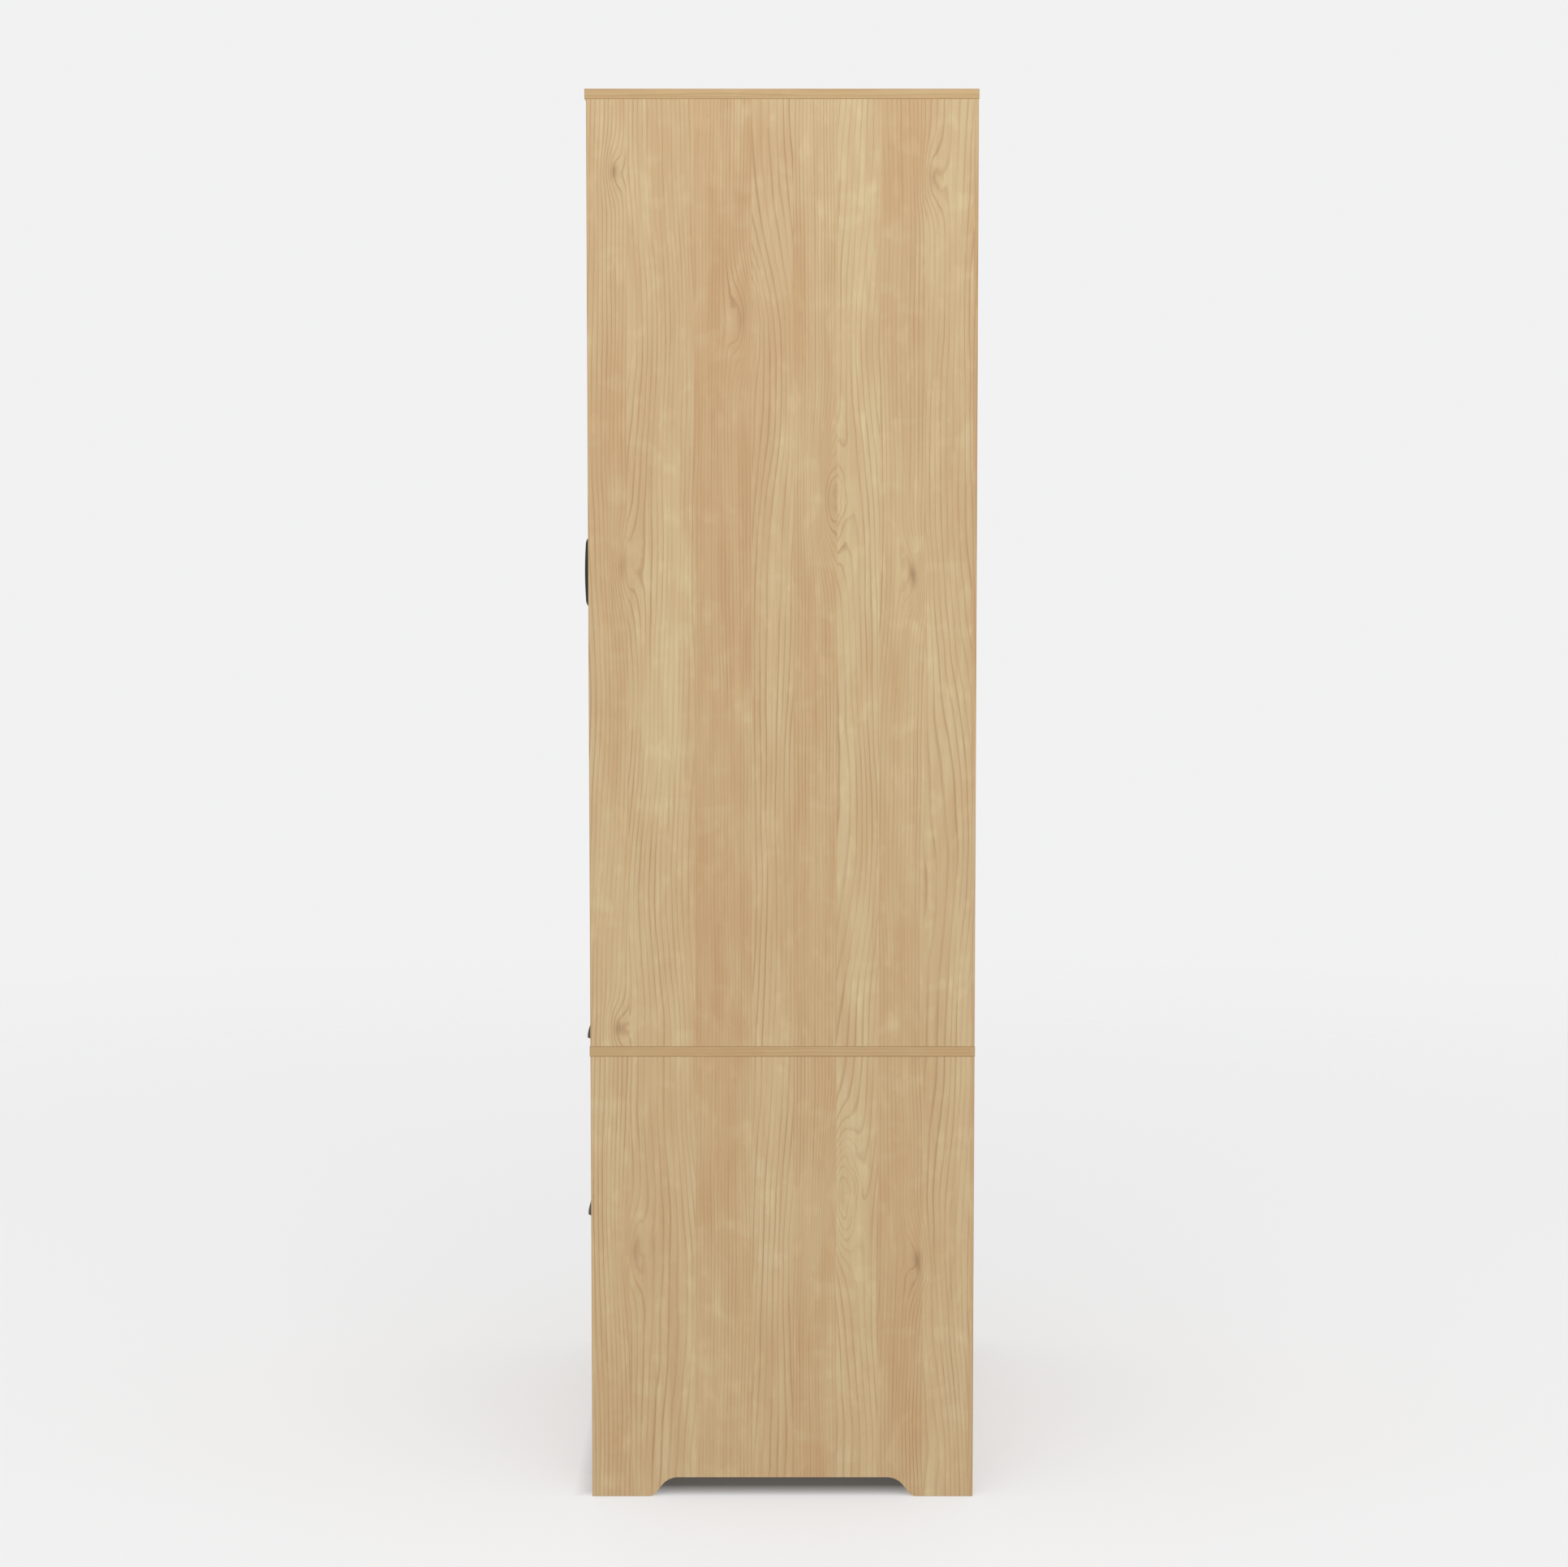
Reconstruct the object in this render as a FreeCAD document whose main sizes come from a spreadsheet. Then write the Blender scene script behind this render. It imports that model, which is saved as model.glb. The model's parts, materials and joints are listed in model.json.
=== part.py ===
import FreeCAD, Part
import math
import os
import Sketcher
from FreeCAD import Placement, Rotation, Vector

# Tall pantry cabinet of laminated board: two doors over two drawers, inset between the side panels.
# Frame: +X to the cabinet's right, -Y out of the front, +Z up, floor at z = 0.

doc = FreeCAD.newDocument("PantryCabinet")

# Driving dimensions in millimetres, one sheet row each.
drivingSizes = {
    "outerWidth": 800,
    "sideDepth": 500,
    "totalHeight": 1829,
    "boardThick": 12.7,
    "baseSideHeight": 585,
    "plinthHeight": 63.8,
    "topFrontOver": 2,
    "topRearOver": 0.6,
    "midFrontOver": 1,
    "edgeRound": 0.6,
    "footLength": 74,
    "archRise": 25.4,
    "toeRadius": 12,
    "archRadius": 26,
    "archSlope": 52,
    "frontSetback": 0.5,
    "frontGap": 2.5,
    "doorSideGap": 2.6,
    "doorMeetGap": 3,
    "pivotInset": 8,
    "pivotRadius": 2.95,
    "bushRadius": 5,
    "bushBore": 3,
    "bushDepth": 9,
    "bushFlange": 1,
    "backThick": 3,
    "backInset": 8,
    "grooveDepth": 5,
    "shelfSetback": 20,
    "shelfSideGap": 1.2,
    "shelfRearGap": 2,
    "fixedShelfLow": 1200.6,
    "lowerShelfPinHeight": 897,
    "upperShelfPinHeight": 1507,
    "pinRadius": 2.45,
    "pinHoleRadius": 2.5,
    "pinHoleDepth": 8.5,
    "pinRowPitch": 32,
    "railHeight": 80,
    "wallHoleRadius": 2.5,
    "wallHoleSpacing": 600,
    "camReach": 24,
    "camRadius": 7.3,
    "camDepth": 10.2,
    "camBoltRadius": 2.9,
    "camThreadDepth": 10.5,
    "dowelRadius": 4,
    "dowelShort": 9.5,
    "dowelLong": 20,
    "pullSpan": 96,
    "pullWidth": 10,
    "pullProjection": 26.5,
    "pullMidHeight": 1204,
    "pullFromEdge": 26,
    "cupWidth": 92,
    "cupRise": 32,
    "cupProjection": 26,
    "cupWall": 2.4,
    "cupCorner": 18,
    "cupDrop": 34.5,
    "cupScrewSpan": 64,
    "screwRadius": 1.9,
    "screwHeadRadius": 4,
    "screwHeadHeight": 2.2,
    "slideGap": 12.5,
    "railThick": 1.2,
    "slideLength": 445,
    "rollerRadius": 8.7,
    "rollerWidth": 7,
    "rollerPinRadius": 2,
    "rollerBore": 2.05,
    "rollerTrack": 18.05,
    "boxDepth": 450,
    "boxHeight": 170,
    "boxThick": 12,
    "boxLift": 22,
    "bottomThick": 3,
    "bottomLift": 10,
}

sheet = doc.addObject("Spreadsheet::Sheet", "Sizes")
for row, (alias, number) in enumerate(drivingSizes.items(), start=1):
    sheet.set(f"A{row}", alias)
    sheet.set(f"B{row}", str(number))
    sheet.setAlias(f"B{row}", alias)
doc.recompute()


class Size:
    # A length that carries its number and the sheet expression that it comes from.
    def __init__(self, value, rule):
        self.value = value
        self.rule = rule

    def __add__(self, other):
        other = asSize(other)
        return Size(self.value + other.value, f"({self.rule} + {other.rule})")

    def __radd__(self, other):
        return asSize(other) + self

    def __sub__(self, other):
        other = asSize(other)
        return Size(self.value - other.value, f"({self.rule} - {other.rule})")

    def __rsub__(self, other):
        return asSize(other) - self

    def __mul__(self, factor):
        factor = asSize(factor)
        return Size(self.value * factor.value, f"({self.rule} * {factor.rule})")

    def __rmul__(self, factor):
        return self * factor

    def __truediv__(self, divisor):
        return Size(self.value / divisor, f"({self.rule} / {divisor})")

    def __neg__(self):
        return Size(-self.value, f"(0 - {self.rule})")


def asSize(number):
    return number if isinstance(number, Size) else Size(float(number), f"({float(number)})")


def cell(alias):
    return Size(float(sheet.get(alias)), f"Sizes.{alias}")


def sine(angle):
    return Size(math.sin(math.radians(angle.value)), f"sin({angle.rule} * 1 deg)")


def cosine(angle):
    return Size(math.cos(math.radians(angle.value)), f"cos({angle.rule} * 1 deg)")


def moveTo(thing, place):
    for axis, size in zip("xyz", place):
        thing.setExpression(f"Placement.Base.{axis}", asSize(size).rule)


def numbers(place):
    return Vector(*[asSize(size).value for size in place])


# Named levels and planes, all worked out from the sheet.
thick = cell("boardThick")
front = -(cell("sideDepth") + cell("topRearOver") + cell("frontSetback") - cell("pullProjection")) / 2
rear = front + cell("sideDepth")
outerHalf = cell("outerWidth") / 2
innerHalf = outerHalf - thick
sideMid = outerHalf - thick / 2
faceFront = front + cell("frontSetback")
faceRear = faceFront + thick
faceMid = faceFront + thick / 2
midLow = cell("baseSideHeight")
midHigh = midLow + thick
topLow = cell("totalHeight") - thick
plinthTop = cell("plinthHeight")
baseFloor = plinthTop + thick
backFront = rear - cell("backInset") - cell("backThick")
shelfFront = front + cell("shelfSetback")
shelfRear = backFront - cell("shelfRearGap")

# Gaps between a hole and what stands in it, and how far a cutter overruns.
snugGap = 0.05
threadGap = 0.1
looseGap = 0.2
endGap = 0.3
boltGap = 0.7
overrun = 1

xAxis = Vector(1, 0, 0)
yAxis = Vector(0, 1, 0)
zAxis = Vector(0, 0, 1)
turnDepthHeight = Rotation(Vector(1, 1, 1), 120)
turnWidthHeight = Rotation(xAxis, 90)

nodes = []
bores = {}
grooves = {}


def keep(label, thing):
    thing.Label = label
    nodes.append(thing)
    return thing


def bore(label, start, direction, radius, depth):
    bores.setdefault(label, []).append((start, direction, asSize(radius), asSize(depth)))


def groove(label, low, size):
    grooves.setdefault(label, []).append((low, size))


def block(name, low, size):
    blank = doc.addObject("Part::Box", name)
    for side, length in zip(("Length", "Width", "Height"), size):
        blank.setExpression(side, asSize(length).rule)
    moveTo(blank, low)
    return blank


def rod(name, start, direction, radius, depth):
    shaft = doc.addObject("Part::Cylinder", name)
    shaft.setExpression("Radius", asSize(radius).rule)
    shaft.setExpression("Height", asSize(depth).rule)
    shaft.Placement = Placement(Vector(), Rotation(zAxis, direction))
    moveTo(shaft, start)
    return shaft


def easeEdges(name, blank):
    eased = doc.addObject("Part::Fillet", name)
    eased.Base = blank
    radius = cell("edgeRound").value
    doc.recompute()
    eased.Edges = [(edge + 1, radius, radius) for edge in range(len(blank.Shape.Edges))]
    return eased


def machine(label, blank):
    # Cuts the bores and grooves that were asked for out of a board.
    cutters = []
    for index, (start, direction, radius, depth) in enumerate(bores.get(label, [])):
        cutters.append(rod(f"{label}_bore_{index}", start, direction, radius, depth))
    for index, (low, size) in enumerate(grooves.get(label, [])):
        cutters.append(block(f"{label}_groove_{index}", low, size))
    if not cutters:
        return keep(label, blank)
    tools = doc.addObject("Part::Compound", f"{label}_tools")
    tools.Links = cutters
    cut = doc.addObject("Part::Cut", f"{label}_cut")
    cut.Base = blank
    cut.Tool = tools
    return keep(label, cut)


def board(label, low, high, eased=True):
    size = [asSize(top) - asSize(bottom) for bottom, top in zip(low, high)]
    blank = block(f"{label}_blank", low, size)
    if eased:
        blank = easeEdges(f"{label}_eased", blank)
    return machine(label, blank)


def drawOutline(body, corners):
    # Closed outline on the body's XY plane. A corner is (x, y) with, for an arc to the next corner,
    # its radius and 1 for anticlockwise or -1 for clockwise.
    sketch = body.newObject("Sketcher::SketchObject", f"{body.Name}Sketch")
    plane = [feature for feature in body.Origin.OriginFeatures if feature.Role == "XY_Plane"][0]
    sketch.AttachmentSupport = [(plane, "")]
    sketch.MapMode = "FlatFace"
    ends = []
    for index, corner in enumerate(corners):
        follower = corners[(index + 1) % len(corners)]
        begin = Vector(asSize(corner[0]).value, asSize(corner[1]).value, 0)
        end = Vector(asSize(follower[0]).value, asSize(follower[1]).value, 0)
        if len(corner) == 2:
            edge = sketch.addGeometry(Part.LineSegment(begin, end), False)
            ends.append((edge, 1, 2))
            continue
        radius, turn = asSize(corner[2]), corner[3]
        chord = end - begin
        across = Vector(-chord.y, chord.x, 0).normalize() * turn
        centre = (begin + end) * 0.5 + across * math.sqrt(max(radius.value**2 - chord.Length**2 / 4, 0))
        circle = Part.Circle(centre, zAxis, radius.value)
        first, last = (begin, end) if turn > 0 else (end, begin)
        arc = Part.ArcOfCircle(circle, circle.parameter(first), circle.parameter(last))
        edge = sketch.addGeometry(arc, False)
        sketch.addConstraint(Sketcher.Constraint("Radius", edge, radius.value))
        sketch.setExpression(f"Constraints[{sketch.ConstraintCount - 1}]", radius.rule)
        ends.append((edge, 1, 2) if turn > 0 else (edge, 2, 1))
    for index, (edge, begin, end) in enumerate(ends):
        follower = ends[(index + 1) % len(ends)]
        sketch.addConstraint(Sketcher.Constraint("Coincident", edge, end, follower[0], follower[1]))
        for kind, size in zip(("DistanceX", "DistanceY"), corners[index][:2]):
            sketch.addConstraint(Sketcher.Constraint(kind, edge, begin, asSize(size).value))
            sketch.setExpression(f"Constraints[{sketch.ConstraintCount - 1}]", asSize(size).rule)
    return sketch


def padded(name, corners, length, rotation, place):
    # A board or profile: an outline on the body's own XY plane, padded and then turned into place.
    body = doc.addObject("PartDesign::Body", name)
    pad = body.newObject("PartDesign::Pad", f"{name}Pad")
    pad.Profile = drawOutline(body, corners)
    pad.setExpression("Length", asSize(length).rule)
    body.Placement = Placement(Vector(), rotation)
    moveTo(body, place)
    return body


def turned(name, corners):
    # A turned piece about the body's Y axis. Corners are (radius, height).
    body = doc.addObject("PartDesign::Body", name)
    sketch = drawOutline(body, corners)
    turn = body.newObject("PartDesign::Revolution", f"{name}Turn")
    turn.Profile = sketch
    turn.ReferenceAxis = (sketch, ["V_Axis"])
    turn.Angle = 360
    return body


def copies(label, parts):
    # One node of several separate solids. Each part is (master, start, direction of the master's +Y).
    doc.recompute()
    group = doc.addObject("Part::Feature", f"{label}_group")
    solids = []
    for master, start, direction in parts:
        solid = master.Shape.copy()
        solid.Placement = Placement(numbers(start), Rotation(yAxis, direction))
        solids.append(solid)
    group.Shape = Part.makeCompound(solids)
    group.Placement = Placement()
    return keep(label, group)


# Turned masters: fasteners, pins, bushes and rollers.

camHeadStart = 3
camNeckStart = 6
camNeckRadius = cell("camBoltRadius") * 0.6
camBolt = turned("CamBoltMaster", [
    (0, 0 - cell("camThreadDepth")),
    (cell("camBoltRadius"), 0 - cell("camThreadDepth")),
    (cell("camBoltRadius"), cell("camReach") - camNeckStart),
    (camNeckRadius, cell("camReach") - camNeckStart),
    (camNeckRadius, cell("camReach") - camHeadStart),
    (cell("camBoltRadius"), cell("camReach") - camHeadStart),
    (cell("camBoltRadius"), cell("camReach") - endGap),
    (0, cell("camReach") - endGap),
])

dowelChamfer = 1
dowel = turned("DowelMaster", [
    (0, 0 - cell("dowelShort")),
    (cell("dowelRadius") - dowelChamfer, 0 - cell("dowelShort")),
    (cell("dowelRadius"), dowelChamfer - cell("dowelShort")),
    (cell("dowelRadius"), cell("dowelLong") - dowelChamfer),
    (cell("dowelRadius") - dowelChamfer, cell("dowelLong")),
    (0, cell("dowelLong")),
])

# The collar lies in the gap between the side panel and the shelf's end.
pinTipLength = 9
pinShankLength = 8
pinCollarRadius = 4
pinCollarThick = 0.9
shelfPin = turned("ShelfPinMaster", [
    (0, -pinShankLength),
    (cell("pinRadius"), -pinShankLength),
    (cell("pinRadius"), 0),
    (pinCollarRadius, 0),
    (pinCollarRadius, pinCollarThick),
    (cell("pinRadius"), pinCollarThick),
    (cell("pinRadius"), pinTipLength - 1),
    (cell("pinRadius") - 1, pinTipLength),
    (0, pinTipLength),
])


def screwMaster(name, shankLength, headCorners, headHeight):
    # A screw with a blind drive socket. The shank runs along -Y from under the head.
    tipLength = 1.5
    tipTaper = 0.8
    socketRadius = 1.3
    socketDepth = headHeight * 0.6
    shank = [
        (0, -shankLength),
        (cell("screwRadius") - tipTaper, -shankLength),
        (cell("screwRadius"), tipLength - shankLength),
        (cell("screwRadius"), 0),
    ]
    socket = [
        (socketRadius, headHeight),
        (socketRadius, headHeight - socketDepth),
        (0, headHeight - socketDepth),
    ]
    return turned(name, shank + headCorners + socket)


headRadius = cell("screwHeadRadius")
headHeight = cell("screwHeadHeight")
headCrown = 0.8
panHead = [
    (headRadius, 0),
    (headRadius, headHeight - headCrown),
    (headRadius - headCrown, headHeight),
]
flatHead = [(headRadius, cell("railThick"))]
pullScrewLength = 20
runnerScrewLength = 11
boxScrewLength = 32
pullScrew = screwMaster("PullScrewMaster", pullScrewLength, panHead, headHeight)
boxScrew = screwMaster("BoxScrewMaster", boxScrewLength, panHead, headHeight)
runnerScrew = screwMaster("RunnerScrewMaster", runnerScrewLength, flatHead, cell("railThick"))

pivotInDoor = 14
pivotInBush = 7
pivotChamfer = 0.5
pivotPin = turned("PivotPinMaster", [
    (0, -pivotInDoor),
    (cell("pivotRadius"), -pivotInDoor),
    (cell("pivotRadius"), cell("frontGap") + pivotInBush - pivotChamfer),
    (cell("pivotRadius") - pivotChamfer, cell("frontGap") + pivotInBush),
    (0, cell("frontGap") + pivotInBush),
])

bushFlangeRadius = 7
pivotBush = turned("PivotBushMaster", [
    (cell("bushBore"), 0 - cell("bushFlange")),
    (bushFlangeRadius, 0 - cell("bushFlange")),
    (bushFlangeRadius, 0),
    (cell("bushRadius"), 0),
    (cell("bushRadius"), cell("bushDepth")),
    (cell("bushBore"), cell("bushDepth")),
])

rollerRim = 0.8
roller = turned("RollerMaster", [
    (cell("rollerBore"), 0),
    (cell("rollerRadius") - rollerRim, 0),
    (cell("rollerRadius"), rollerRim),
    (cell("rollerRadius"), cell("rollerWidth") - rollerRim),
    (cell("rollerRadius") - rollerRim, cell("rollerWidth")),
    (cell("rollerBore"), cell("rollerWidth")),
])

# The cam disc's +Y points out of the board face. Its slot takes the bolt's head from the +Z side.
camSlotWidth = 6.6
camFaceSkin = 2.6
camBlank = rod("CamDiscBlank", (0, 0 - cell("camDepth"), 0), yAxis, cell("camRadius"), cell("camDepth"))
camSlot = block(
    "CamDiscSlot",
    (-camSlotWidth / 2, 0 - cell("camDepth"), -overrun),
    (camSlotWidth, cell("camDepth") - camFaceSkin, cell("camRadius") + 2 * overrun),
)
driverSlotLength = 9
driverSlotWidth = 1.6
driverSlotDepth = 1.5
camDriver = block(
    "CamDiscDriver",
    (-driverSlotLength / 2, -driverSlotDepth, -driverSlotWidth / 2),
    (driverSlotLength, driverSlotDepth + overrun, driverSlotWidth),
)
camCutters = doc.addObject("Part::Compound", "CamDiscTools")
camCutters.Links = [camSlot, camDriver]
camDisc = doc.addObject("Part::Cut", "CamDiscMaster")
camDisc.Base = camBlank
camDisc.Tool = camCutters

camDiscPlaces = {}
camBoltPlaces = {}
dowelPlaces = []


def shift(place, direction, distance):
    return [asSize(size) + asSize(distance) * part for size, part in zip(place, direction)]


def camJoint(group, seat, into, face, edgeBoard, faceBoard, edgeThick=thick):
    # seat lies on the joint's plane at the edge board's mid thickness; into points into the edge board,
    # and face points from its middle to the face that the cam disc is let into.
    threadRadius = cell("camBoltRadius")
    bore(faceBoard, seat, -into, threadRadius + snugGap, cell("camThreadDepth") + endGap)
    bore(edgeBoard, seat, into, threadRadius + boltGap, cell("camReach"))
    discSeat = shift(shift(seat, into, cell("camReach")), face, edgeThick / 2)
    bore(edgeBoard, discSeat, -face, cell("camRadius") + looseGap, cell("camDepth") + endGap)
    camBoltPlaces.setdefault(group, []).append((seat, into))
    camDiscPlaces.setdefault(group, []).append((discSeat, into, face))


def dowelJoint(seat, into, edgeBoard, faceBoard):
    bore(faceBoard, seat, -into, cell("dowelRadius") + snugGap, cell("dowelShort") + endGap)
    bore(edgeBoard, seat, into, cell("dowelRadius") + snugGap, cell("dowelLong") + endGap)
    dowelPlaces.append((dowel, seat, into))


def camParts(group):
    parts = []
    for seat, into, face in camDiscPlaces[group]:
        disc = camDisc.Shape.copy()
        acrossSlot = face.cross(into)
        frame = FreeCAD.Matrix(
            acrossSlot.x, face.x, into.x * -1, 0,
            acrossSlot.y, face.y, into.y * -1, 0,
            acrossSlot.z, face.z, into.z * -1, 0,
            0, 0, 0, 1,
        )
        disc.Placement = Placement(numbers(seat), Rotation(frame))
        parts.append(disc)
    return parts


# Where the carcass boards are joined.

camFromEnd = 60
dowelFromEnd = 110
camStagger = 34
rearRailInset = 40
plinthDowelDrops = (14, 44)
topRailDowelDrops = (20, 60)
pinRowFront = front + 62
pinRowRear = rear - 80
for side, hand in ((1, "right"), (-1, "left")):
    upper = f"side_{hand}_upper"
    lower = f"side_{hand}_lower"
    inward = Vector(-side, 0, 0)
    wallX = innerHalf * side
    boardX = sideMid * side
    for camY, dowelY, stagger in (
        (front + camFromEnd, front + dowelFromEnd, camStagger),
        (rear - camFromEnd, rear - dowelFromEnd, -camStagger),
    ):
        camJoint("carcass", (boardX, camY, topLow), -zAxis, inward, upper, "top_board")
        camJoint("carcass", (boardX, camY, midLow), -zAxis, inward, lower, "mid_board")
        camJoint("carcass", (boardX, camY + stagger, midHigh), zAxis, inward, upper, "mid_board")
        shelfMid = cell("fixedShelfLow") + thick / 2
        camJoint("carcass", (wallX, camY, shelfMid), inward, -zAxis, "fixed_shelf", upper)
        camJoint("carcass", (wallX, camY, plinthTop + thick / 2), inward, -zAxis, "bottom_board", lower)
        dowelJoint((boardX, dowelY, topLow), -zAxis, upper, "top_board")
        dowelJoint((wallX, dowelY, shelfMid), inward, "fixed_shelf", upper)
        dowelJoint((wallX, dowelY, plinthTop + thick / 2), inward, "bottom_board", lower)
    railMidY = backFront - thick / 2
    for drop in plinthDowelDrops:
        dowelJoint((wallX, rear - rearRailInset, plinthTop - drop), inward, "rear_rail", lower)
        dowelJoint((wallX, faceMid, plinthTop - drop), inward, "front_apron", lower)
    for drop in topRailDowelDrops:
        dowelJoint((wallX, railMidY, topLow - drop), inward, "top_rear_rail", upper)

    # Shelf pin holes in short rows, and the pins that carry the two loose shelves.
    for pinY in (pinRowFront, pinRowRear):
        for pinHeight in (cell("lowerShelfPinHeight"), cell("upperShelfPinHeight")):
            for step in (-2, -1, 0, 1, 2):
                holeZ = pinHeight + cell("pinRowPitch") * step
                bore(upper, (wallX, pinY, holeZ), -inward, cell("pinHoleRadius"), cell("pinHoleDepth"))

    # Grooves for the two back panels, in the inner faces of the sides.
    grooveX = innerHalf if side > 0 else -innerHalf - cell("grooveDepth")
    grooveWidth = cell("backThick")
    upperLength = topLow - midHigh + 2 * overrun
    lowerLength = midLow - baseFloor + overrun
    groove(upper, (grooveX, backFront, midHigh - overrun), (cell("grooveDepth"), grooveWidth, upperLength))
    groove(lower, (grooveX, backFront, baseFloor), (cell("grooveDepth"), grooveWidth, lowerLength))

    # Bushes for the door pivots.
    pivotX = (innerHalf - cell("doorSideGap") - cell("pivotInset")) * side
    bore("top_board", (pivotX, faceMid, topLow), zAxis, cell("bushRadius"), cell("bushDepth"))
    bore("mid_board", (pivotX, faceMid, midHigh), -zAxis, cell("bushRadius"), cell("bushDepth"))

wallHoleZ = topLow - cell("railHeight") / 2
for side in (1, -1):
    wallHole = (cell("wallHoleSpacing") / 2 * side, backFront - thick - overrun, wallHoleZ)
    wallHoleDepth = thick + cell("backThick") + 2 * overrun
    for label in ("top_rear_rail", "back_panel_upper"):
        bore(label, wallHole, yAxis, cell("wallHoleRadius"), wallHoleDepth)

# Drawers: heights, and the runner screws that enter the lower sides.

frontHeight = (midLow - baseFloor - 3 * cell("frontGap")) / 2
boxHalf = innerHalf - cell("slideGap")
boxRear = faceRear + cell("boxDepth")
runnerFront = front + 20
runnerRear = runnerFront + cell("slideLength")
runnerScrewInsets = (70, 230, 400)
trackLift = 2
rollerRise = 9
rollerInset = 14
frontRollerY = runnerFront + rollerInset
rearRollerY = boxRear - rollerInset
runnerScrewPlaces = {}
drawers = {}
for name, level in (("upper", 1), ("lower", 0)):
    frontLow = baseFloor + cell("frontGap") + (frontHeight + cell("frontGap")) * level
    boxLow = frontLow + cell("boxLift")
    drawers[name] = {"frontLow": frontLow, "boxLow": boxLow, "track": boxLow + trackLift}
    runnerScrewPlaces[name] = []
    for side, hand in ((1, "right"), (-1, "left")):
        inward = Vector(-side, 0, 0)
        for inset in runnerScrewInsets:
            seat = (innerHalf * side, front + inset, drawers[name]["track"] + rollerRise)
            bore(f"side_{hand}_lower", seat, -inward, cell("screwRadius") + snugGap, runnerScrewLength)
            runnerScrewPlaces[name].append((runnerScrew, seat, inward))

# Carcass boards.


def archCorners(length, height, footLength):
    # A board outline with the shaped arch between its two feet. x runs along the board, y up.
    slope = cell("archSlope")
    toe = cell("toeRadius")
    arch = cell("archRadius")
    rise = cell("archRise")
    toeEndX = footLength + toe * sine(slope)
    toeEndY = toe - toe * cosine(slope)
    archStartY = rise - arch + arch * cosine(slope)
    straight = (archStartY.value - toeEndY.value) / math.tan(math.radians(slope.value))
    archStartX = toeEndX + straight
    archEndX = archStartX + arch * sine(slope)
    return [
        (0, 0),
        (footLength, 0, toe, 1),
        (toeEndX, toeEndY),
        (archStartX, archStartY, arch, -1),
        (archEndX, rise),
        (length - archEndX, rise, arch, -1),
        (length - archStartX, archStartY),
        (length - toeEndX, toeEndY, toe, 1),
        (length - footLength, 0),
        (length, 0),
        (length, height),
        (0, height),
    ]


for side, hand in ((1, "right"), (-1, "left")):
    innerX = innerHalf if side > 0 else -outerHalf
    board(
        f"side_{hand}_upper",
        (innerX, front, midHigh),
        (innerX + thick, rear, topLow),
    )
    outline = archCorners(cell("sideDepth"), midLow, cell("footLength"))
    lowerSide = padded(f"side_{hand}_lower_body", outline, thick, turnDepthHeight, (innerX, front, 0))
    machine(f"side_{hand}_lower", lowerSide)

board(
    "top_board",
    (-outerHalf, front - cell("topFrontOver"), topLow),
    (outerHalf, rear + cell("topRearOver"), topLow + thick),
)
board(
    "mid_board",
    (-outerHalf, front - cell("midFrontOver"), midLow),
    (outerHalf, rear + cell("topRearOver"), midHigh),
)
board("bottom_board", (-innerHalf, faceFront, plinthTop), (innerHalf, backFront, baseFloor))
apronOutline = archCorners(innerHalf * 2, plinthTop, cell("footLength"))
apronBody = padded("front_apron_body", apronOutline, thick, turnWidthHeight, (-innerHalf, faceRear, 0))
machine("front_apron", apronBody)
rearRailMid = rear - rearRailInset
board("rear_rail", (-innerHalf, rearRailMid - thick / 2, 0), (innerHalf, rearRailMid + thick / 2, plinthTop))
board(
    "top_rear_rail",
    (-innerHalf, backFront - thick, topLow - cell("railHeight")),
    (innerHalf, backFront, topLow),
)
backHalf = innerHalf + cell("grooveDepth") - endGap
board(
    "back_panel_upper",
    (-backHalf, backFront, midHigh),
    (backHalf, backFront + cell("backThick"), topLow),
    eased=False,
)
board(
    "back_panel_lower",
    (-backHalf, backFront, baseFloor),
    (backHalf, backFront + cell("backThick"), midLow),
    eased=False,
)
board(
    "fixed_shelf",
    (-innerHalf, shelfFront, cell("fixedShelfLow")),
    (innerHalf, backFront, cell("fixedShelfLow") + thick),
)
shelfHalf = innerHalf - cell("shelfSideGap")
pinPlaces = []
for name in ("lower", "upper"):
    pinHeight = cell(f"{name}ShelfPinHeight")
    shelfLow = pinHeight + cell("pinRadius")
    board(f"shelf_{name}", (-shelfHalf, shelfFront, shelfLow), (shelfHalf, shelfRear, shelfLow + thick))
    for side in (1, -1):
        for pinY in (pinRowFront, pinRowRear):
            pinPlaces.append((shelfPin, (innerHalf * side, pinY, pinHeight), Vector(-side, 0, 0)))
copies("shelf_pins", pinPlaces)
copies("dowels", dowelPlaces)
copies("cam_bolts", [(camBolt, seat, into) for seat, into in camBoltPlaces["carcass"]])
doc.recompute()
camDiscGroup = doc.addObject("Part::Feature", "cam_discs_group")
camDiscGroup.Shape = Part.makeCompound(camParts("carcass"))
keep("cam_discs", camDiscGroup)

# Doors.

doorLow = midHigh + cell("frontGap")
doorHigh = topLow - cell("frontGap")
bushPlaces = []
strikeThick = 1.2
strikeHalf = 20
strikeDrop = 3
strikeHeight = 15
strikeFromMeet = 26
catchGap = 0.4
catchDepth = 12
catchPlate = 1

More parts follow.
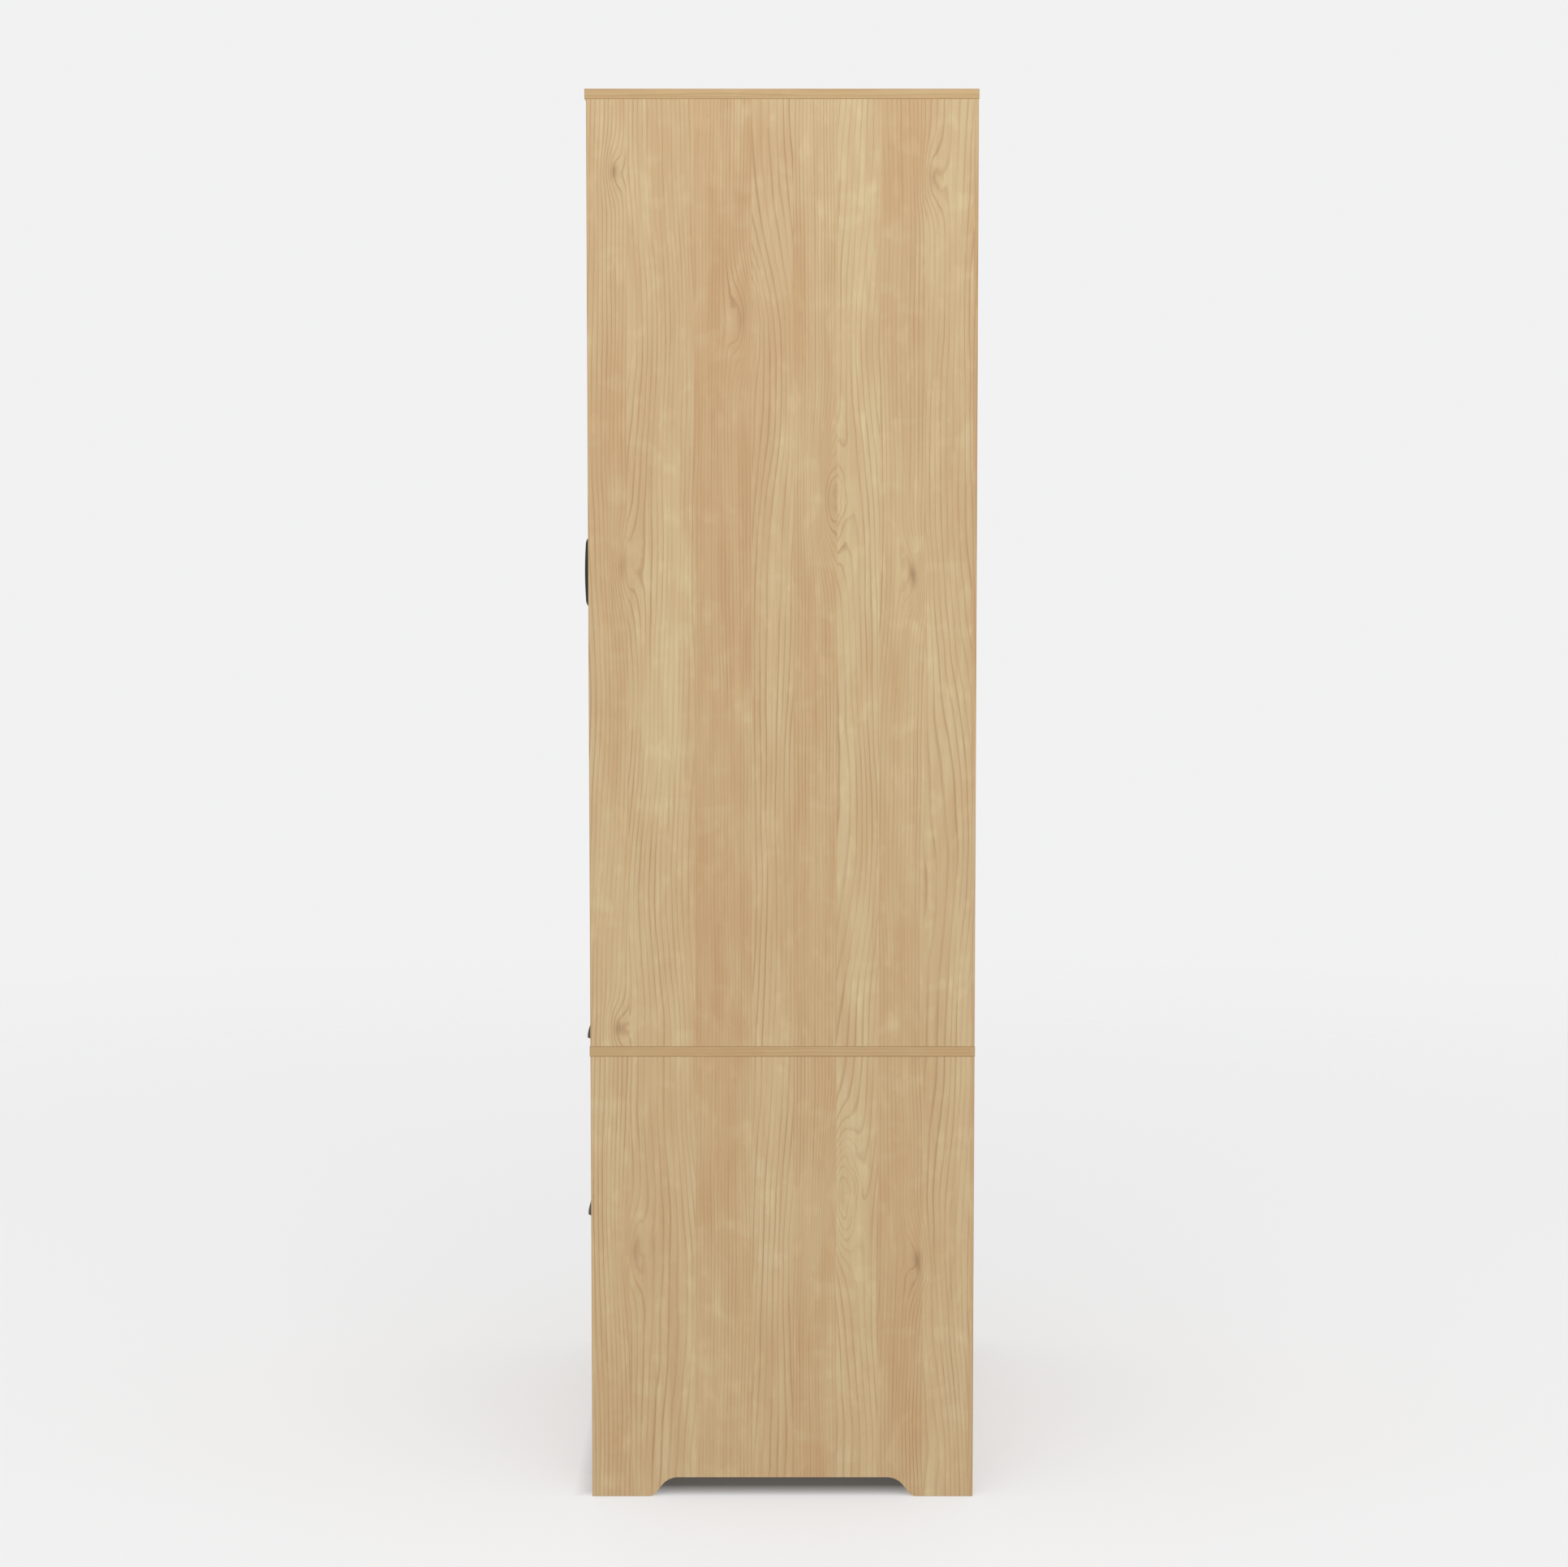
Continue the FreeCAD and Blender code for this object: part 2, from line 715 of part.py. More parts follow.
# Bowed bar pull: half its feet, its bar, the corners outside and inside, and the drop from middle to end.
pullReach = cell("pullProjection")
pullFootHalf = 5.5
pullBarThick = 6.8
pullEndDrop = 1.2
pullEndRadius = 9
pullInnerRadius = 4
pullEase = 2
pullScrewHole = pullScrewLength - thick + 2
for side, hand in ((1, "right"), (-1, "left")):
    hingeEdge = innerHalf - cell("doorSideGap")
    meetEdge = cell("doorMeetGap") / 2
    pivotX = (hingeEdge - cell("pivotInset")) * side
    label = f"door_{hand}"
    bore(label, (pivotX, faceMid, doorHigh), -zAxis, cell("pivotRadius"), pivotInDoor)
    bore(label, (pivotX, faceMid, doorLow), zAxis, cell("pivotRadius"), pivotInDoor)
    pullX = (meetEdge + cell("pullFromEdge")) * side
    for end in (1, -1):
        screwSeat = (pullX, faceFront, cell("pullMidHeight") + cell("pullSpan") / 2 * end)
        bore(label, screwSeat, yAxis, cell("screwRadius") + looseGap, thick)
    lowX = meetEdge if side > 0 else -hingeEdge
    highX = hingeEdge if side > 0 else -meetEdge
    board(label, (lowX, faceFront, doorLow), (highX, faceRear, doorHigh))
    copies(f"pivot_pins_{hand}", [
        (pivotPin, (pivotX, faceMid, doorHigh), zAxis),
        (pivotPin, (pivotX, faceMid, doorLow), -zAxis),
    ])
    bushPlaces.append((pivotBush, (pivotX, faceMid, topLow), zAxis))
    bushPlaces.append((pivotBush, (pivotX, faceMid, midHigh), -zAxis))
    strikeX = (meetEdge + strikeFromMeet) * side
    strikeTop = doorHigh - strikeDrop
    board(
        f"strike_plate_{hand}",
        (strikeX - strikeHalf, faceRear, strikeTop - strikeHeight),
        (strikeX + strikeHalf, faceRear + strikeThick, strikeTop),
        eased=False,
    )

    # The pull's side outline is padded across, and then its long edges are rounded.
    tipZ = cell("pullSpan") / 2 + pullFootHalf
    innerZ = cell("pullSpan") / 2 - pullFootHalf
    bow = ((tipZ.value - pullEndRadius) ** 2 + pullEndDrop**2) / (2 * pullEndDrop)
    outerEnd = pullReach - pullEndDrop
    innerEnd = outerEnd - pullBarThick
    pullOutline = [
        (0, -tipZ),
        (outerEnd - pullEndRadius, -tipZ, pullEndRadius, 1),
        (outerEnd, pullEndRadius - tipZ, bow, 1),
        (outerEnd, tipZ - pullEndRadius, pullEndRadius, 1),
        (outerEnd - pullEndRadius, tipZ),
        (0, tipZ),
        (0, innerZ),
        (innerEnd - pullInnerRadius, innerZ, pullInnerRadius, -1),
        (innerEnd, innerZ - pullInnerRadius, bow, -1),
        (innerEnd, pullInnerRadius - innerZ, pullInnerRadius, -1),
        (innerEnd - pullInnerRadius, -innerZ),
        (0, -innerZ),
    ]
    pullBody = padded(
        f"door_pull_{hand}_body",
        pullOutline,
        cell("pullWidth"),
        Rotation(Vector(0, -1, 0), zAxis, Vector(-1, 0, 0), "XYZ"),
        (pullX + cell("pullWidth") / 2, faceFront, cell("pullMidHeight")),
    )
    doc.recompute()
    pad = pullBody.Tip
    rims = []
    for index, edge in enumerate(pad.Shape.Edges, start=1):
        box = edge.BoundBox
        lengthwise = box.ZLength < 0.01 and box.XMax > 0.01
        if lengthwise:
            rims.append(f"Edge{index}")
    ease = pullBody.newObject("PartDesign::Fillet", f"door_pull_{hand}_ease")
    ease.Base = (pad, rims)
    ease.Radius = pullEase
    pullBody.Tip = ease
    for end in (1, -1):
        screwSeat = (pullX, faceFront, cell("pullMidHeight") + cell("pullSpan") / 2 * end)
        bore(f"door_pull_{hand}", screwSeat, -yAxis, cell("screwRadius") + threadGap, pullScrewHole)
    machine(f"door_pull_{hand}", pullBody)
    copies(f"door_pull_screws_{hand}", [
        (pullScrew, (pullX, faceRear, cell("pullMidHeight") + cell("pullSpan") / 2 * end), yAxis)
        for end in (1, -1)
    ])

copies("pivot_bushes", bushPlaces)


def catchBlocks(name, depthLow, depthHigh, dropHigh, dropLow, halfWidth):
    blocks = []
    for side in (1, -1):
        strikeX = (cell("doorMeetGap") / 2 + strikeFromMeet) * side
        low = (strikeX - halfWidth, faceRear + depthLow, topLow - dropLow)
        size = (halfWidth * 2, depthHigh - depthLow, dropLow - dropHigh)
        blocks.append(block(f"{name}_{'right' if side > 0 else 'left'}", low, size))
    group = doc.addObject("Part::Compound", f"{name}_group")
    group.Links = blocks
    return group


# A magnetic catch over each strike plate: a housing against the top board, with pole plates on its front.
housingHeight = 14
housingHalf = 21
poleHigh = 4
poleLow = 12
poleHalf = 17
catchFront = strikeThick + catchGap
housingFront = catchFront + catchPlate
housings = catchBlocks("catch_housing", housingFront, catchFront + catchDepth, 0, housingHeight, housingHalf)
keep("catch_housings", housings)
keep("catch_poles", catchBlocks("catch_pole", catchFront, housingFront, poleHigh, poleLow, poleHalf))

# Runners, rollers and drawers.

railThick = cell("railThick")
flangeWidth = 10.5
lipTop = 22
flangeGap = 2
webDrop = 1
pinHeadRadius = 3
pinHeadThick = 0.6
track = cell("rollerTrack")
frontRollerGap = 2.5
rearRollerGap = 2.7
rearPinGap = 1.7


def channelCorners():
    # Cabinet member: a C channel that opens towards the drawer. x runs away from the side panel.
    return [
        (0, 0 - railThick),
        (flangeWidth, 0 - railThick),
        (flangeWidth, 0),
        (railThick, 0),
        (railThick, lipTop - railThick),
        (flangeWidth, lipTop - railThick),
        (flangeWidth, lipTop),
        (0, lipTop),
    ]


def railCorners():
    # Drawer member: a web on the drawer side with a flange that runs over the front roller.
    web = cell("slideGap")
    return [
        (web - railThick, -webDrop),
        (web, -webDrop),
        (web, track + railThick),
        (flangeGap, track + railThick),
        (flangeGap, track),
        (web - railThick, track),
    ]


def mirrored(corners):
    return [(0 - asSize(x), y) for x, y in reversed(corners)]


def fuse(label, parts):
    joined = doc.addObject("Part::MultiFuse", f"{label}_fuse")
    joined.Shapes = parts
    return joined


def countersink(name, seat, inward):
    # The hole in the channel's web that a runner screw's flat head fills.
    hole = doc.addObject("Part::Cone", name)
    hole.setExpression("Radius1", (cell("screwRadius") + snugGap).rule)
    hole.setExpression("Radius2", (cell("screwHeadRadius") + snugGap).rule)
    hole.setExpression("Height", railThick.rule)
    hole.Placement = Placement(Vector(), Rotation(zAxis, inward))
    moveTo(hole, seat)
    return hole


for name, drawer in drawers.items():
    trackZ = drawer["track"]
    channels = []
    rails = []
    frontRollers = []
    rearRollers = []
    for side, hand in ((1, "right"), (-1, "left")):
        wallX = innerHalf * side
        inward = Vector(-side, 0, 0)
        channelOutline = mirrored(channelCorners()) if side > 0 else channelCorners()
        railOutline = mirrored(railCorners()) if side > 0 else railCorners()
        channel = padded(
            f"channel_{name}_{hand}",
            channelOutline,
            cell("slideLength"),
            turnWidthHeight,
            (wallX, runnerRear, trackZ),
        )
        frontSeat = (wallX, frontRollerY, trackZ + rollerRise)
        rearSeat = (wallX, rearRollerY, trackZ + rollerRise)
        frontPin = rod(
            f"front_pin_{name}_{hand}",
            frontSeat,
            inward,
            cell("rollerPinRadius"),
            flangeWidth,
        )
        frontPinHead = rod(
            f"front_pin_head_{name}_{hand}",
            shift(frontSeat, inward, flangeWidth - pinHeadThick),
            inward,
            pinHeadRadius,
            pinHeadThick,
        )
        plain = fuse(f"channel_{name}_{hand}", [channel, frontPin, frontPinHead])
        holes = doc.addObject("Part::Compound", f"channel_{name}_{hand}_holes")
        holes.Links = [
            countersink(f"channel_hole_{name}_{hand}_{index}", seat, inward)
            for index, (master, seat, direction) in enumerate(runnerScrewPlaces[name])
            if direction.x * inward.x > 0
        ]
        drilled = doc.addObject("Part::Cut", f"channel_{name}_{hand}_drilled")
        drilled.Base = plain
        drilled.Tool = holes
        channels.append(drilled)
        rail = padded(
            f"rail_{name}_{hand}",
            railOutline,
            cell("slideLength"),
            turnWidthHeight,
            (wallX, boxRear, trackZ),
        )
        rearPin = rod(
            f"rear_pin_{name}_{hand}",
            shift(rearSeat, inward, rearPinGap),
            inward,
            cell("rollerPinRadius"),
            cell("slideGap") - railThick - rearPinGap,
        )
        rearPinHead = rod(
            f"rear_pin_head_{name}_{hand}",
            shift(rearSeat, inward, rearPinGap),
            inward,
            pinHeadRadius,
            pinHeadThick,
        )
        rails.append(fuse(f"rail_{name}_{hand}", [rail, rearPin, rearPinHead]))
        frontRollers.append((roller, shift(frontSeat, inward, frontRollerGap), inward))
        rearRollers.append((roller, shift(rearSeat, inward, rearRollerGap), inward))
    for label, parts in ((f"cabinet_runners_{name}", channels), (f"drawer_{name}_runners", rails)):
        pair = doc.addObject("Part::Compound", f"{label}_pair")
        pair.Links = parts
        keep(label, pair)
    copies(f"front_rollers_{name}", frontRollers)
    copies(f"drawer_{name}_rollers", rearRollers)

copies("runner_screws", runnerScrewPlaces["upper"] + runnerScrewPlaces["lower"])


def cupShell(width, radius, corner):
    # A quarter turn of a rounded-end outline about the X axis, from straight up to straight out.
    half = width / 2
    start = Vector(-half, 0, 0)
    low = Vector(-half, 0, radius - corner)
    high = Vector(corner - half, 0, radius)
    bendCentre = Vector(corner - half, 0, radius - corner)
    bend = bendCentre + Vector(-math.sqrt(0.5), 0, math.sqrt(0.5)) * corner

    def across(point):
        return Vector(-point.x, point.y, point.z)

    outline = Part.Wire([
        Part.makeLine(start, low),
        Part.Arc(low, bend, high).toShape(),
        Part.makeLine(high, across(high)),
        Part.Arc(across(high), across(bend), across(low)).toShape(),
        Part.makeLine(across(low), across(start)),
        Part.makeLine(across(start), start),
    ])
    return Part.Face(outline).revolve(Vector(), xAxis, 90)


boxFixLow = 45
boxFixDrop = 30
boxBackInset = 8
boxGroove = 5
bottomTongue = 4.8
boxScrewHole = boxScrewLength - cell("boxThick") + 0.5
backScrewInset = cell("boxThick") / 2 + boxBackInset
cupBossRise = 12
cupBossRadius = 4.2
cupScrewHole = pullScrewLength - thick + 1.5

for name, drawer in drawers.items():
    frontLow = drawer["frontLow"]
    boxLow = drawer["boxLow"]
    lipZ = frontLow + frontHeight - cell("cupDrop")
    screwZ = lipZ + cupBossRise
    fixHeights = (boxLow + boxFixLow, boxLow + cell("boxHeight") - boxFixDrop)
    boxScrewPlaces = []
    label = f"drawer_{name}_front"
    frontHalf = innerHalf - cell("frontGap")
    cupScrewX = cell("cupScrewSpan") / 2
    for side in (1, -1):
        bore(label, (cupScrewX * side, faceFront, screwZ), yAxis, cell("screwRadius") + looseGap, thick)
        sideLabel = f"drawer_{name}_side_{'right' if side > 0 else 'left'}"
        outward = Vector(side, 0, 0)
        sideX = (boxHalf - cell("boxThick") / 2) * side
        for fixZ in fixHeights:
            camJoint(name, (sideX, faceRear, fixZ), yAxis, -outward, sideLabel, label, cell("boxThick"))
            screwSeat = (boxHalf * side, boxRear - backScrewInset, fixZ)
            bore(sideLabel, screwSeat, -outward, cell("screwRadius") + snugGap, cell("boxThick"))
            backSeat = shift(screwSeat, -outward, cell("boxThick"))
            bore(f"drawer_{name}_back", backSeat, -outward, cell("screwRadius") + snugGap, boxScrewHole)
            boxScrewPlaces.append((boxScrew, screwSeat, outward))
        innerSide = boxHalf - cell("boxThick")
        grooveX = innerSide if side > 0 else -(innerSide + boxGroove)
        groove(
            sideLabel,
            (grooveX, faceRear - overrun, boxLow + cell("bottomLift")),
            (boxGroove, cell("boxDepth") + 2 * overrun, cell("bottomThick")),
        )
    board(label, (-frontHalf, faceFront, frontLow), (frontHalf, faceRear, frontLow + frontHeight))
    for side, hand in ((1, "right"), (-1, "left")):
        lowX = (boxHalf - cell("boxThick")) if side > 0 else -boxHalf
        board(
            f"drawer_{name}_side_{hand}",
            (lowX, faceRear, boxLow),
            (lowX + cell("boxThick"), boxRear, boxLow + cell("boxHeight")),
            eased=False,
        )
    backY = boxRear - boxBackInset
    bottomTop = boxLow + cell("bottomLift") + cell("bottomThick")
    board(
        f"drawer_{name}_back",
        (0 - (boxHalf - cell("boxThick")), backY - cell("boxThick"), bottomTop),
        (boxHalf - cell("boxThick"), backY, boxLow + cell("boxHeight")),
        eased=False,
    )
    bottomHalf = boxHalf - cell("boxThick") + bottomTongue
    board(
        f"drawer_{name}_bottom",
        (-bottomHalf, faceRear, boxLow + cell("bottomLift")),
        (bottomHalf, boxRear, bottomTop),
        eased=False,
    )
    copies(f"drawer_{name}_screws", boxScrewPlaces)

    doc.recompute()
    fittings = doc.addObject("Part::Feature", f"drawer_{name}_cams_group")
    bolts = []
    for seat, into in camBoltPlaces[name]:
        bolt = camBolt.Shape.copy()
        bolt.Placement = Placement(numbers(seat), Rotation(yAxis, into))
        bolts.append(bolt)
    fittings.Shape = Part.makeCompound(camParts(name) + bolts)
    keep(f"drawer_{name}_cams", fittings)

    # Cup pull: a thin shell with two bosses for its screws. The hollow is joined with a copy of itself
    # a little lower and further back, so that the cut opens the shell below and behind.
    openShift = 0.01
    wall = cell("cupWall").value
    reach = cell("cupProjection").value
    shell = cupShell(cell("cupWidth").value, reach, cell("cupCorner").value)
    hollow = cupShell(cell("cupWidth").value - 2 * wall, reach - wall, cell("cupCorner").value - wall)
    hollow = hollow.fuse(hollow.translated(Vector(0, openShift, -openShift)))
    stretch = FreeCAD.Matrix()
    stretch.scale(1, 1, cell("cupRise").value / reach)
    outside = shell.transformGeometry(stretch)
    cup = shell.cut(hollow).transformGeometry(stretch)
    holeRadius = cell("screwRadius").value + threadGap
    for side in (1, -1):
        bossSeat = Vector(cupScrewX.value * side, 0, cupBossRise)
        boss = Part.makeCylinder(cupBossRadius, reach, bossSeat, -yAxis)
        hole = Part.makeCylinder(holeRadius, cupScrewHole.value, bossSeat, -yAxis)
        cup = cup.fuse(boss.common(outside)).cut(hole)
    cupFeature = doc.addObject("Part::Feature", f"drawer_{name}_pull_shape")
    cupFeature.Shape = cup
    cupFeature.Placement = Placement(numbers((0, faceFront, lipZ)), Rotation())
    keep(f"drawer_{name}_pull", cupFeature)
    copies(f"drawer_{name}_pull_screws", [
        (pullScrew, (cupScrewX * side, faceRear, screwZ), yAxis) for side in (1, -1)
    ])

# Checks, then one STEP file per node.

doc.recompute()
for thing in doc.Objects:
    if "Invalid" in thing.State or "Error" in thing.State:
        raise RuntimeError(f"{thing.Name} ({thing.Label}) did not recompute: {thing.State}")
for node in nodes:
    shape = node.Shape
    if shape.isNull() or not shape.isValid() or not shape.Solids:
        raise RuntimeError(f"{node.Label} has no valid solid")

os.makedirs("parts", exist_ok=True)
for node in nodes:
    node.Shape.exportStep(f"parts/{node.Label}.step")
    box = node.Shape.BoundBox
    print(f"{node.Label}: {len(node.Shape.Solids)} solids, {node.Shape.Volume / 1000:.1f} cm3, "
          f"z {box.ZMin:.1f} to {box.ZMax:.1f}")
print(f"{len(nodes)} nodes")
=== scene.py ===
import json
import math
import bmesh
import bpy
from mathutils import Matrix, Vector


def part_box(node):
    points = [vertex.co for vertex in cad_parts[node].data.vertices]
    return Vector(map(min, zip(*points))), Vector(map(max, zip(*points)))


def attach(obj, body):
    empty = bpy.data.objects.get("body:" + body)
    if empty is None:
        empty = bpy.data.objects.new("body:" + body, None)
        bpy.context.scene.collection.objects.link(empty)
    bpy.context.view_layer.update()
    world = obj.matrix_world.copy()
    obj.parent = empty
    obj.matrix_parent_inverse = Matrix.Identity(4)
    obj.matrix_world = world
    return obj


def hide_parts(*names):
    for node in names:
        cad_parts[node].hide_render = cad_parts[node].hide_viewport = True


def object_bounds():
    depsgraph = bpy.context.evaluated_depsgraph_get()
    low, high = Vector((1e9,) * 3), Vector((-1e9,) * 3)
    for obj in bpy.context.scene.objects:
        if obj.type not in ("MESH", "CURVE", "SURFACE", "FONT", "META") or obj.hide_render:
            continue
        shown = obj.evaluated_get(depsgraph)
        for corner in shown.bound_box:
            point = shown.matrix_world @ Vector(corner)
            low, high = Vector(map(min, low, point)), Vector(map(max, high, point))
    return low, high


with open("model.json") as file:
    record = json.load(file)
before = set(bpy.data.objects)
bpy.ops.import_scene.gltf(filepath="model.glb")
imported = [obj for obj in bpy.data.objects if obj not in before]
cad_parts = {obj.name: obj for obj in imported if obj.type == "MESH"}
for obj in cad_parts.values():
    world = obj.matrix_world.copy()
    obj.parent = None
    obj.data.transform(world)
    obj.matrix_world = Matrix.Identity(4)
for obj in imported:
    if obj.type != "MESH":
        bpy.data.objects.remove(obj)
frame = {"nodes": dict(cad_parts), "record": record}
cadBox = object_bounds()
nodes = frame["nodes"]
record = frame["record"]
scene = bpy.context.scene
slotOf = {part["node"]: part["material_slot"] for part in record["subparts"]}
print("frame loaded:", len(nodes), "nodes")


class Tree:
    # wraps a node tree so that a sum or a mix is one short line
    def __init__(self, tree):
        self.tree = tree

    def node(self, kind, **settings):
        made = self.tree.nodes.new(kind)
        for name, value in settings.items():
            setattr(made, name, value)
        return made

    def feed(self, socket, value):
        if isinstance(value, bpy.types.NodeSocket):
            self.tree.links.new(value, socket)
        else:
            socket.default_value = value

    def math(self, operation, first, second=None, clamp=False):
        made = self.node("ShaderNodeMath", operation=operation, use_clamp=clamp)
        for socket, value in zip(made.inputs, (first, second)):
            if value is not None:
                self.feed(socket, value)
        return made.outputs[0]

    def weighted(self, terms):
        # the sum of every value times its weight, held between 0 and 1
        products = [self.math("MULTIPLY", value, weight) for value, weight in terms]
        total = products[0]
        for product in products[1:-1]:
            total = self.math("ADD", total, product)
        return self.math("ADD", total, products[-1], clamp=True)

    def mapped(self, value, fromLow, fromHigh, toLow, toHigh):
        made = self.node("ShaderNodeMapRange")
        for socket, number in zip(made.inputs, (value, fromLow, fromHigh, toLow, toHigh)):
            self.feed(socket, number)
        return made.outputs[0]

    def vector(self, x, y, z):
        made = self.node("ShaderNodeCombineXYZ")
        for socket, value in zip(made.inputs, (x, y, z)):
            self.feed(socket, value)
        return made.outputs[0]

    def split(self, vector):
        made = self.node("ShaderNodeSeparateXYZ")
        self.feed(made.inputs[0], vector)
        return made.outputs

    def noise(self, place, detail=2.0, roughness=0.5, scale=1.0):
        made = self.node("ShaderNodeTexNoise", noise_dimensions="3D")
        self.feed(made.inputs["Vector"], place)
        made.inputs["Scale"].default_value = scale
        made.inputs["Detail"].default_value = detail
        made.inputs["Roughness"].default_value = roughness
        return made.outputs["Fac"]

    def ramp(self, value, interpolation, stops):
        # stops are pairs of a position and a colour, and the first is at 0
        made = self.node("ShaderNodeValToRGB")
        made.color_ramp.interpolation = interpolation
        elements = made.color_ramp.elements
        elements.remove(elements[-1])
        elements[0].color = stops[0][1]
        for position, stopColour in stops[1:]:
            elements.new(position).color = stopColour
        self.feed(made.inputs[0], value)
        return made.outputs[0]

    def mixColour(self, factor, first, second):
        made = self.node("ShaderNodeMix", data_type="RGBA")
        self.feed(made.inputs[0], factor)
        self.feed(made.inputs[6], first)
        self.feed(made.inputs[7], second)
        return made.outputs[2]

    def mixValue(self, factor, first, second):
        made = self.node("ShaderNodeMix", data_type="FLOAT")
        self.feed(made.inputs[0], factor)
        self.feed(made.inputs[2], first)
        self.feed(made.inputs[3], second)
        return made.outputs[0]

    def place(self, group, **values):
        made = self.node("ShaderNodeGroup", node_tree=group)
        for name, value in values.items():
            self.feed(made.inputs[name], value)
        return made.outputs


def startGroup(name, inputs, outputs):
    group = bpy.data.node_groups.new(name, "ShaderNodeTree")
    for label, kind, value in inputs:
        socket = group.interface.new_socket(label, in_out="INPUT", socket_type=kind)
        if value is not None:
            socket.default_value = value
    for label, kind in outputs:
        group.interface.new_socket(label, in_out="OUTPUT", socket_type=kind)
    tree = Tree(group)
    entry = tree.node("NodeGroupInput").outputs
    leave = tree.node("NodeGroupOutput").inputs
    return group, tree, entry, leave


def colour(red, green, blue):
    # a display colour, 0 to 255, as the linear value that the shader takes
    def linear(step):
        share = step / 255
        return share / 12.92 if share <= 0.04045 else ((share + 0.055) / 1.055) ** 2.4
    return (linear(red), linear(green), linear(blue), 1.0)


floatSocket = "NodeSocketFloat"
vectorSocket = "NodeSocketVector"
colourSocket = "NodeSocketColor"
faceTurn = 0.7            # a face lies square to an axis when its normal's part along the axis is over this
mergeDistance = 1e-6


def buildBoardAxes():
    # turns a place and a face direction into distances across and along the grain
    group, tree, entry, leave = startGroup(
        "boardAxes",
        [("Place", vectorSocket, None), ("Facing", vectorSocket, None), ("Upright", floatSocket, 1.0)],
        [("Across", floatSocket), ("Along", floatSocket)],
    )
    x, y, z = tree.split(entry["Place"])
    facing = tree.split(entry["Facing"])
    sideways = tree.math("GREATER_THAN", tree.math("ABSOLUTE", facing[0]), faceTurn)
    level = tree.math("GREATER_THAN", tree.math("ABSOLUTE", facing[2]), faceTurn)
    uprightAcross = tree.mixValue(sideways, x, y)
    uprightAlong = tree.mixValue(level, z, y)
    lyingAcross = tree.mixValue(level, z, y)
    lyingAlong = tree.mixValue(sideways, x, y)
    tree.feed(leave["Across"], tree.mixValue(entry["Upright"], lyingAcross, uprightAcross))
    tree.feed(leave["Along"], tree.mixValue(entry["Upright"], lyingAlong, uprightAlong))
    return group


knotLook = {
    "wobbleAcross": 40,       # waves per metre across and along the grain
    "wobbleAlong": 22,
    "wobbleDepth": 3.1,
    "wobble": 0.014,          # metres between the outermost places of a wobbling line
    "coreTightness": 9,       # the dark middle dies away this many times as fast as the swell
}


def buildKnotFigure():
    # grain lines swell round one point: a small strength bends them, a large one closes them to an eye
    group, tree, entry, leave = startGroup(
        "knotFigure",
        [("Across", floatSocket, 0), ("Along", floatSocket, 0), ("Centre Across", floatSocket, 0),
         ("Centre Along", floatSocket, 0), ("Half Width", floatSocket, 0.02),
         ("Half Height", floatSocket, 0.06), ("Strength", floatSocket, 4), ("Core", floatSocket, 0)],
        [("Shift", floatSocket), ("Mask", floatSocket)],
    )
    wobble = tree.noise(tree.vector(
        tree.math("MULTIPLY", entry["Across"], knotLook["wobbleAcross"]),
        tree.math("MULTIPLY", entry["Along"], knotLook["wobbleAlong"]),
        knotLook["wobbleDepth"]))
    bent = tree.math("MULTIPLY", tree.math("SUBTRACT", wobble, 0.5), knotLook["wobble"])
    across = tree.math("ADD", tree.math("SUBTRACT", entry["Across"], entry["Centre Across"]), bent)
    along = tree.math("SUBTRACT", entry["Along"], entry["Centre Along"])
    acrossShare = tree.math("DIVIDE", across, entry["Half Width"])
    alongShare = tree.math("DIVIDE", along, entry["Half Height"])
    reach = tree.math("ADD", tree.math("POWER", tree.math("ABSOLUTE", acrossShare), 2),
                      tree.math("POWER", tree.math("ABSOLUTE", alongShare), 2))
    swell = tree.math("EXPONENT", tree.math("MULTIPLY", reach, -1))
    core = tree.math("EXPONENT", tree.math("MULTIPLY", reach, -knotLook["coreTightness"]))
    tree.feed(leave["Shift"], tree.math("MULTIPLY", swell, entry["Strength"]))
    tree.feed(leave["Mask"], tree.math("MULTIPLY", core, entry["Core"]))
    return group


printLook = {
    "straw": colour(205, 185, 143),
    "peach": colour(191, 157, 114),
    "lateWood": colour(160, 121, 84),
    # painted shade: the colour that the rounded board edges darken towards, standing for the shadow lines
    # in the seams between boards
    "edge": colour(158, 124, 82),
    "strip": colour(181, 149, 102),
    "stripShare": 0.5,
    # how far the rounded board edges darken towards the painted seam shade
    "seamShadeShare": 0.55,
    "lineStrength": 0.85,
    "lyingLineStrength": 1.1,     # on shelves and other boards whose grain lies level
    "specular": 0.35,
    "relief": 0.00012,            # metres from the top of the print's grain to its bottom
    "reliefStrength": 0.35,
    "sheetWidth": 0.5,            # the print repeats at this distance
    "sheetStep": 0.013,           # how far a lying board's sheet starts along for each step of its seed
    # where each stave starts, as a share of the sheet, its tone, how flat it was sawn, its place in the log
    "staves": [
        (0.0, 0.55, 0.45, 0.10), (0.10, 0.15, 0.85, 0.62), (0.27, 0.85, 0.15, 0.33),
        (0.42, 0.35, 0.90, 0.90), (0.525, 0.75, 0.10, 0.21), (0.64, 0.05, 0.80, 0.47),
        (0.75, 0.60, 0.30, 0.75), (0.865, 0.25, 0.95, 0.05), (0.985, 0.90, 0.20, 0.55),
    ],
}
